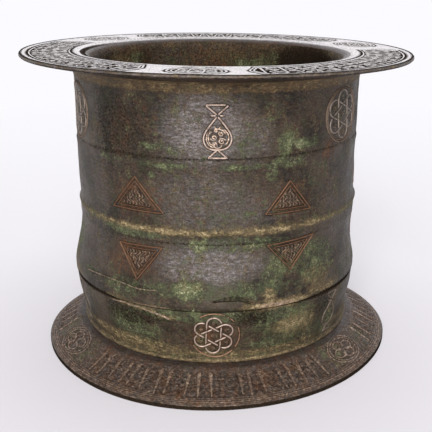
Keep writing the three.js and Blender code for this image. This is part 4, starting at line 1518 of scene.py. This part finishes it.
        # Lengths that the picture does not show repeat the spacing of the one that it shows
        shown = [a % 360 if a % 360 > start - 1 else a % 360 + 360 for a in self.lancet_azimuths]
        lancets = [a for a in shown if start < a < end]
        if len(lancets) < 10:
            share = np.array(self.lancet_azimuths, float)
            share = (share - share[0]) / (share[-1] - share[0])
            lancets = (start + 4 + share * (end - start - 8)).tolist()
        for index, azimuth in enumerate(lancets):
            top, foot = 15.4 - 0.3 * (index % 3), 4.2 + 0.8 * (index % 3)
            lean = (-0.5, 0.2, 0.6, -0.2)[index % 4]
            path = face.draw(azimuth, 0, resampled([(0, top), (lean, foot)], 0.7))
            # The ones at the front were rubbed most
            shine = 0.66 if abs(azimuth % 360 - 354.5) < 5 else 0.56
            face.chase(path, 1.45, 0.28, taper=(1.0, 0.26), shine=shine)
        middles = [math.radians(azimuth) * face.reference_radius for azimuth in lancets]
        for index, (left, right) in enumerate(zip(middles, middles[1:])):
            self.gap_filling(face, index, left, right)

    @staticmethod
    def gap_filling(face: TurnedFace, index: int, left: float, right: float) -> None:
        """Fills the gap between two lancets with small curls, leaves and dots.

        Args:
            face: The skirt.
            index: Number of the gap, which varies the drawing.
            left: u of the gap's left lancet.
            right: u of its right lancet.
        """
        columns = max(1, round((right - left - 1.6) / 2.7))
        for column in range(columns):
            u = left + (column + 1) / (columns + 1) * (right - left)
            for row in range(4):
                kind = (index + 2 * column + 3 * row) % 5
                v = 5.4 + 2.75 * row + 0.5 * ((index + column) % 3 - 1)
                side = 1 if (index + row) % 2 else -1
                if kind in (0, 3):
                    path = spiral((u, v), 1.15, 90 * (index + row), 1.1 * side)
                elif kind == 1:
                    leaf = ((-0.8 * side, -1.2), (0.3, -0.3), (-0.3, 0.5), (0.8 * side, 1.2))
                    path = curve_through([(u + x, v + y) for x, y in leaf])
                elif kind == 2:
                    path = curve_through([(u - 1.0, v + 0.4 * side), (u, v - 0.9 * side), (u + 1.0, v + 0.5 * side)])
                else:
                    path = arc((u, v), 0.4, 0, 360, 0.3)
                face.chase(path, 0.42, 0.22, shine=0.33)

    def spans(self) -> list[Span]:
        """Gives the profile from the middle of the underside, round the foot and up, to the middle of the floor."""
        bore, spigot, corner, edge = self.bore_radius, self.spigot_radius, self.floor_corner, self.foot_radius
        top, skirt_foot, skirt_top = self.collar_top, self.skirt_foot, self.skirt_top
        dish = quarter((bore, self.floor_height + corner), -corner, -corner, 10)
        bead = tuple((65.3 + 0.85 * math.sin(t), 12.9 - 1.1 * math.cos(t)) for t in np.linspace(0, math.pi, 7))
        skirt = {SMOKE: 0.68, RUST: 0.75, VERDIGRIS: 0.22, WORN: 0.33}
        collar = {RUST: 0.5, VERDIGRIS: 0.42, OCHRE: 0.3, SMOKE: 0.25}
        bowl = {RUST: 0.75, OCHRE: 0.4, VERDIGRIS: 0.45, GROUND_AND_SHADE: 0.4}
        spigot_rings = ((top[0], top[1]), (spigot, top[1]), (spigot, self.spigot_top), (bore, self.spigot_top))
        return [
            Span(((0, 3.4), (67.8, 3.4), (71.2, 0)), 9, {GROUND_AND_SHADE: 0.55, RUST: 0.4}, patches=()),
            Span(((71.2, 0), (edge, 0)), 4, {GROUND_AND_SHADE: 0.3, WORN: 0.25}, patches=()),
            Span(((edge, 0), (edge, 1.4)), 1, {GROUND_AND_SHADE: 0.75}),
            Span(((edge, 1.4), skirt_foot), 1, {SMOKE: 0.6, WORN: 0.5}),
            Span((skirt_foot, skirt_top), 1, skirt, face=self.skirt()),
            # Painted light: the grey film lightens the shade that the bead casts here
            Span((skirt_top, (66.3, 11.5), bead[0]), 2, {RUST: 0.6, SMOKE: 0.6}),
            Span((*bead[:-1], self.collar_foot), 1, {WORN: 0.3, OCHRE: 0.6, VERDIGRIS: 0.45}),
            Span((self.collar_foot, top), 1, collar, face=self.collar()),
            # Painted shade in the joint
            Span(spigot_rings, 3, {GROUND_AND_SHADE: 0.7}, patches=()),
            Span(((bore, self.spigot_top), *dish), 4, bowl, patches=()),
            Span((dish[-1], (0, self.floor_height)), 7, bowl, patches=()),
        ]


# ---------------------------------------------------------------- studio


@dataclass(frozen=True)
class Studio:
    """Camera, lamps, and a pale sweep that is floor and backdrop in one."""

    camera_place: tuple[float, float, float] = (-0.3, -368.9, 176.4)
    camera_pitch: float = 72.05
    camera_roll: float = -0.15
    lens: float = 64.74
    sensor_width: float = 36
    clip_start: float = 0.01
    sweep_columns: int = 48
    # Painted light: the paper is greyer by the bowl and whiter far off, as the lamps' falloff makes it
    near_colour: str = "#e4e1e8"
    far_colour: str = "#fcfbff"

    def camera(self) -> None:
        """Sets up the camera at the picture's viewpoint."""
        data = bpy.data.cameras.new("photo_camera")
        data.lens, data.sensor_width, data.clip_start = self.lens, self.sensor_width, self.clip_start
        camera = linked("photo_camera", data)
        camera.location = Vector(self.camera_place) * MM
        pitch = Euler((math.radians(self.camera_pitch), 0, 0)).to_matrix()
        camera.rotation_euler = (pitch @ Matrix.Rotation(math.radians(self.camera_roll), 3, "Z")).to_euler()
        bpy.context.scene.camera = camera

    def sweep(self) -> None:
        """Makes the floor, which curves up into a backdrop on every side but the camera's."""
        # Radius and height of each ring behind the bowl, m
        rings = ((0.3, 0), (0.8, 0), (1.6, 0), (2.2, 0), (2.7, 0.15), (3.0, 0.5), (3.1, 1.0), (3.1, 2.4))
        count = self.sweep_columns
        turns = 2 * math.pi * np.arange(count) / count
        rise = (0.5 + 0.5 * np.cos(turns)) ** 0.5
        points = [np.column_stack([r * np.sin(turns), r * np.cos(turns), height * rise]) for r, height in rings]
        faces = [(0, 1 + (i + 1) % count, 1 + i) for i in range(count)]
        for low in range(1, 1 + (len(rings) - 1) * count, count):
            high = low + count
            faces += [(low + i, low + (i + 1) % count, high + (i + 1) % count, high + i) for i in range(count)]
        mesh = bpy.data.meshes.new("studio_sweep")
        mesh.from_pydata(np.vstack([np.zeros((1, 3)), *points]).tolist(), [], faces)
        mesh.shade_smooth()
        mesh.materials.append(self.paper())
        linked("studio_sweep", mesh)

    def paper(self) -> bpy.types.Material:
        """Gives the sweep's matt paper with painted light: lilac grey by the bowl, white far off, and glowing for
        camera and glossy rays.
        """
        material = blank("studio_paper")
        tree = material.node_tree
        place = add(tree, "ShaderNodeTexCoord").outputs["Object"]
        distance = add(tree, "ShaderNodeVectorMath", {0: place}, operation="LENGTH").outputs["Value"]
        limits = {"Value": add(tree, "ShaderNodeSeparateXYZ", {0: place}).outputs["Y"]}
        limits |= {"From Min": -0.28, "From Max": 0.5}
        far = add(tree, "ShaderNodeMapRange", limits, interpolation_type="SMOOTHSTEP")
        paint = {0: far, 6: linear(self.near_colour), 7: linear(self.far_colour)}
        colour = add(tree, "ShaderNodeMix", paint, data_type="RGBA").outputs[2]
        matt = add(tree, "ShaderNodeBsdfDiffuse", {"Color": colour})
        # Painted glow: camera and glossy rays see the paper glow, less of it by the bowl, where its shadow stays, and
        # fully far off
        glow = add(tree, "ShaderNodeEmission", {"Color": colour, "Strength": 1.0})
        rays = add(tree, "ShaderNodeLightPath").outputs
        seen = add(tree, "ShaderNodeMath", {0: rays["Is Camera Ray"], 1: rays["Is Glossy Ray"]}, operation="MAXIMUM")
        limits = {"Value": distance, "From Min": 0.1, "From Max": 0.7, "To Min": 0.3, "To Max": 1.0}
        share = add(tree, "ShaderNodeMapRange", limits)
        mixed = add(tree, "ShaderNodeMath", {0: seen, 1: share}, operation="MULTIPLY")
        surface = add(tree, "ShaderNodeMixShader", {0: mixed, 1: matt, 2: glow})
        add(tree, "ShaderNodeOutputMaterial", {"Surface": surface})
        return material

    def lamps(self) -> None:
        """Hangs the soft boxes and sets a dim room round them."""
        # name: place, aimed at, size across and up, watts, colour
        boxes = {
            "front_box": ((-0.15, -1.5, 0.8), (0, 0, 0.08), (0.75, 1.3), 32.5, "#fffcf8"),
            "table_bounce": ((-0.06, -0.72, 0.03), (0, 0, 0.09), (0.5, 0.08), 1.3, "#fffaf4"),
            "top_box": ((0.1, 0.1, 1.6), (0, 0, 0.1), (1.6, 1.4), 13, "#ffffff"),
            "back_box": ((0.3, 1.6, 0.9), (0, 0, 0.1), (2.0, 1.0), 5, "#f8f8ff"),
        }
        for name, (place, aim, size, watts, colour) in boxes.items():
            data = bpy.data.lights.new(name, "AREA")
            data.shape, data.size, data.size_y = "RECTANGLE", *size
            data.energy, data.color = watts, linear(colour)[:3]
            lamp = linked(name, data)
            lamp.location = place
            lamp.rotation_euler = (Vector(aim) - Vector(place)).to_track_quat("-Z", "Y").to_euler()
        world = bpy.data.worlds.new("studio_room")
        world.use_nodes = True
        tree = world.node_tree
        tree.nodes.clear()
        # The camera sees the room bright, while the bowl gets little of it
        seen = add(tree, "ShaderNodeLightPath").outputs["Is Camera Ray"]
        strength = add(tree, "ShaderNodeMapRange", {"Value": seen, "To Min": 0.15, "To Max": 1.0})
        room = add(tree, "ShaderNodeBackground", {"Color": linear("#f4f3f6"), "Strength": strength})
        add(tree, "ShaderNodeOutputWorld", {"Surface": room})
        bpy.context.scene.world = world

    def build(self) -> None:
        """Sets up the sweep and the lamps, and leaves the colours as they are lit."""
        self.sweep()
        self.lamps()
        bpy.context.scene.view_settings.view_transform = "Standard"


def main() -> None:
    """Builds camera, castings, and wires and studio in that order."""
    logging.basicConfig(level=logging.INFO, format="%(message)s")
    studio = Studio()
    studio.camera()
    hand = HandWork()
    castings = BarrelCasting(), FootCasting()
    for casting in castings:
        casting.build(hand)
    wire = WireInlay()
    metals = {key: finish.make() for key, finish in WIRE_FINISHES.items()}
    for order in (order for casting in castings for order in casting.orders):
        kind = order.node.rstrip("0123456789").rstrip("_")
        wire.lay(order, hand, metals.get(kind, metals[order.metal]))
    studio.build()


if __name__ == "__main__":
    main()
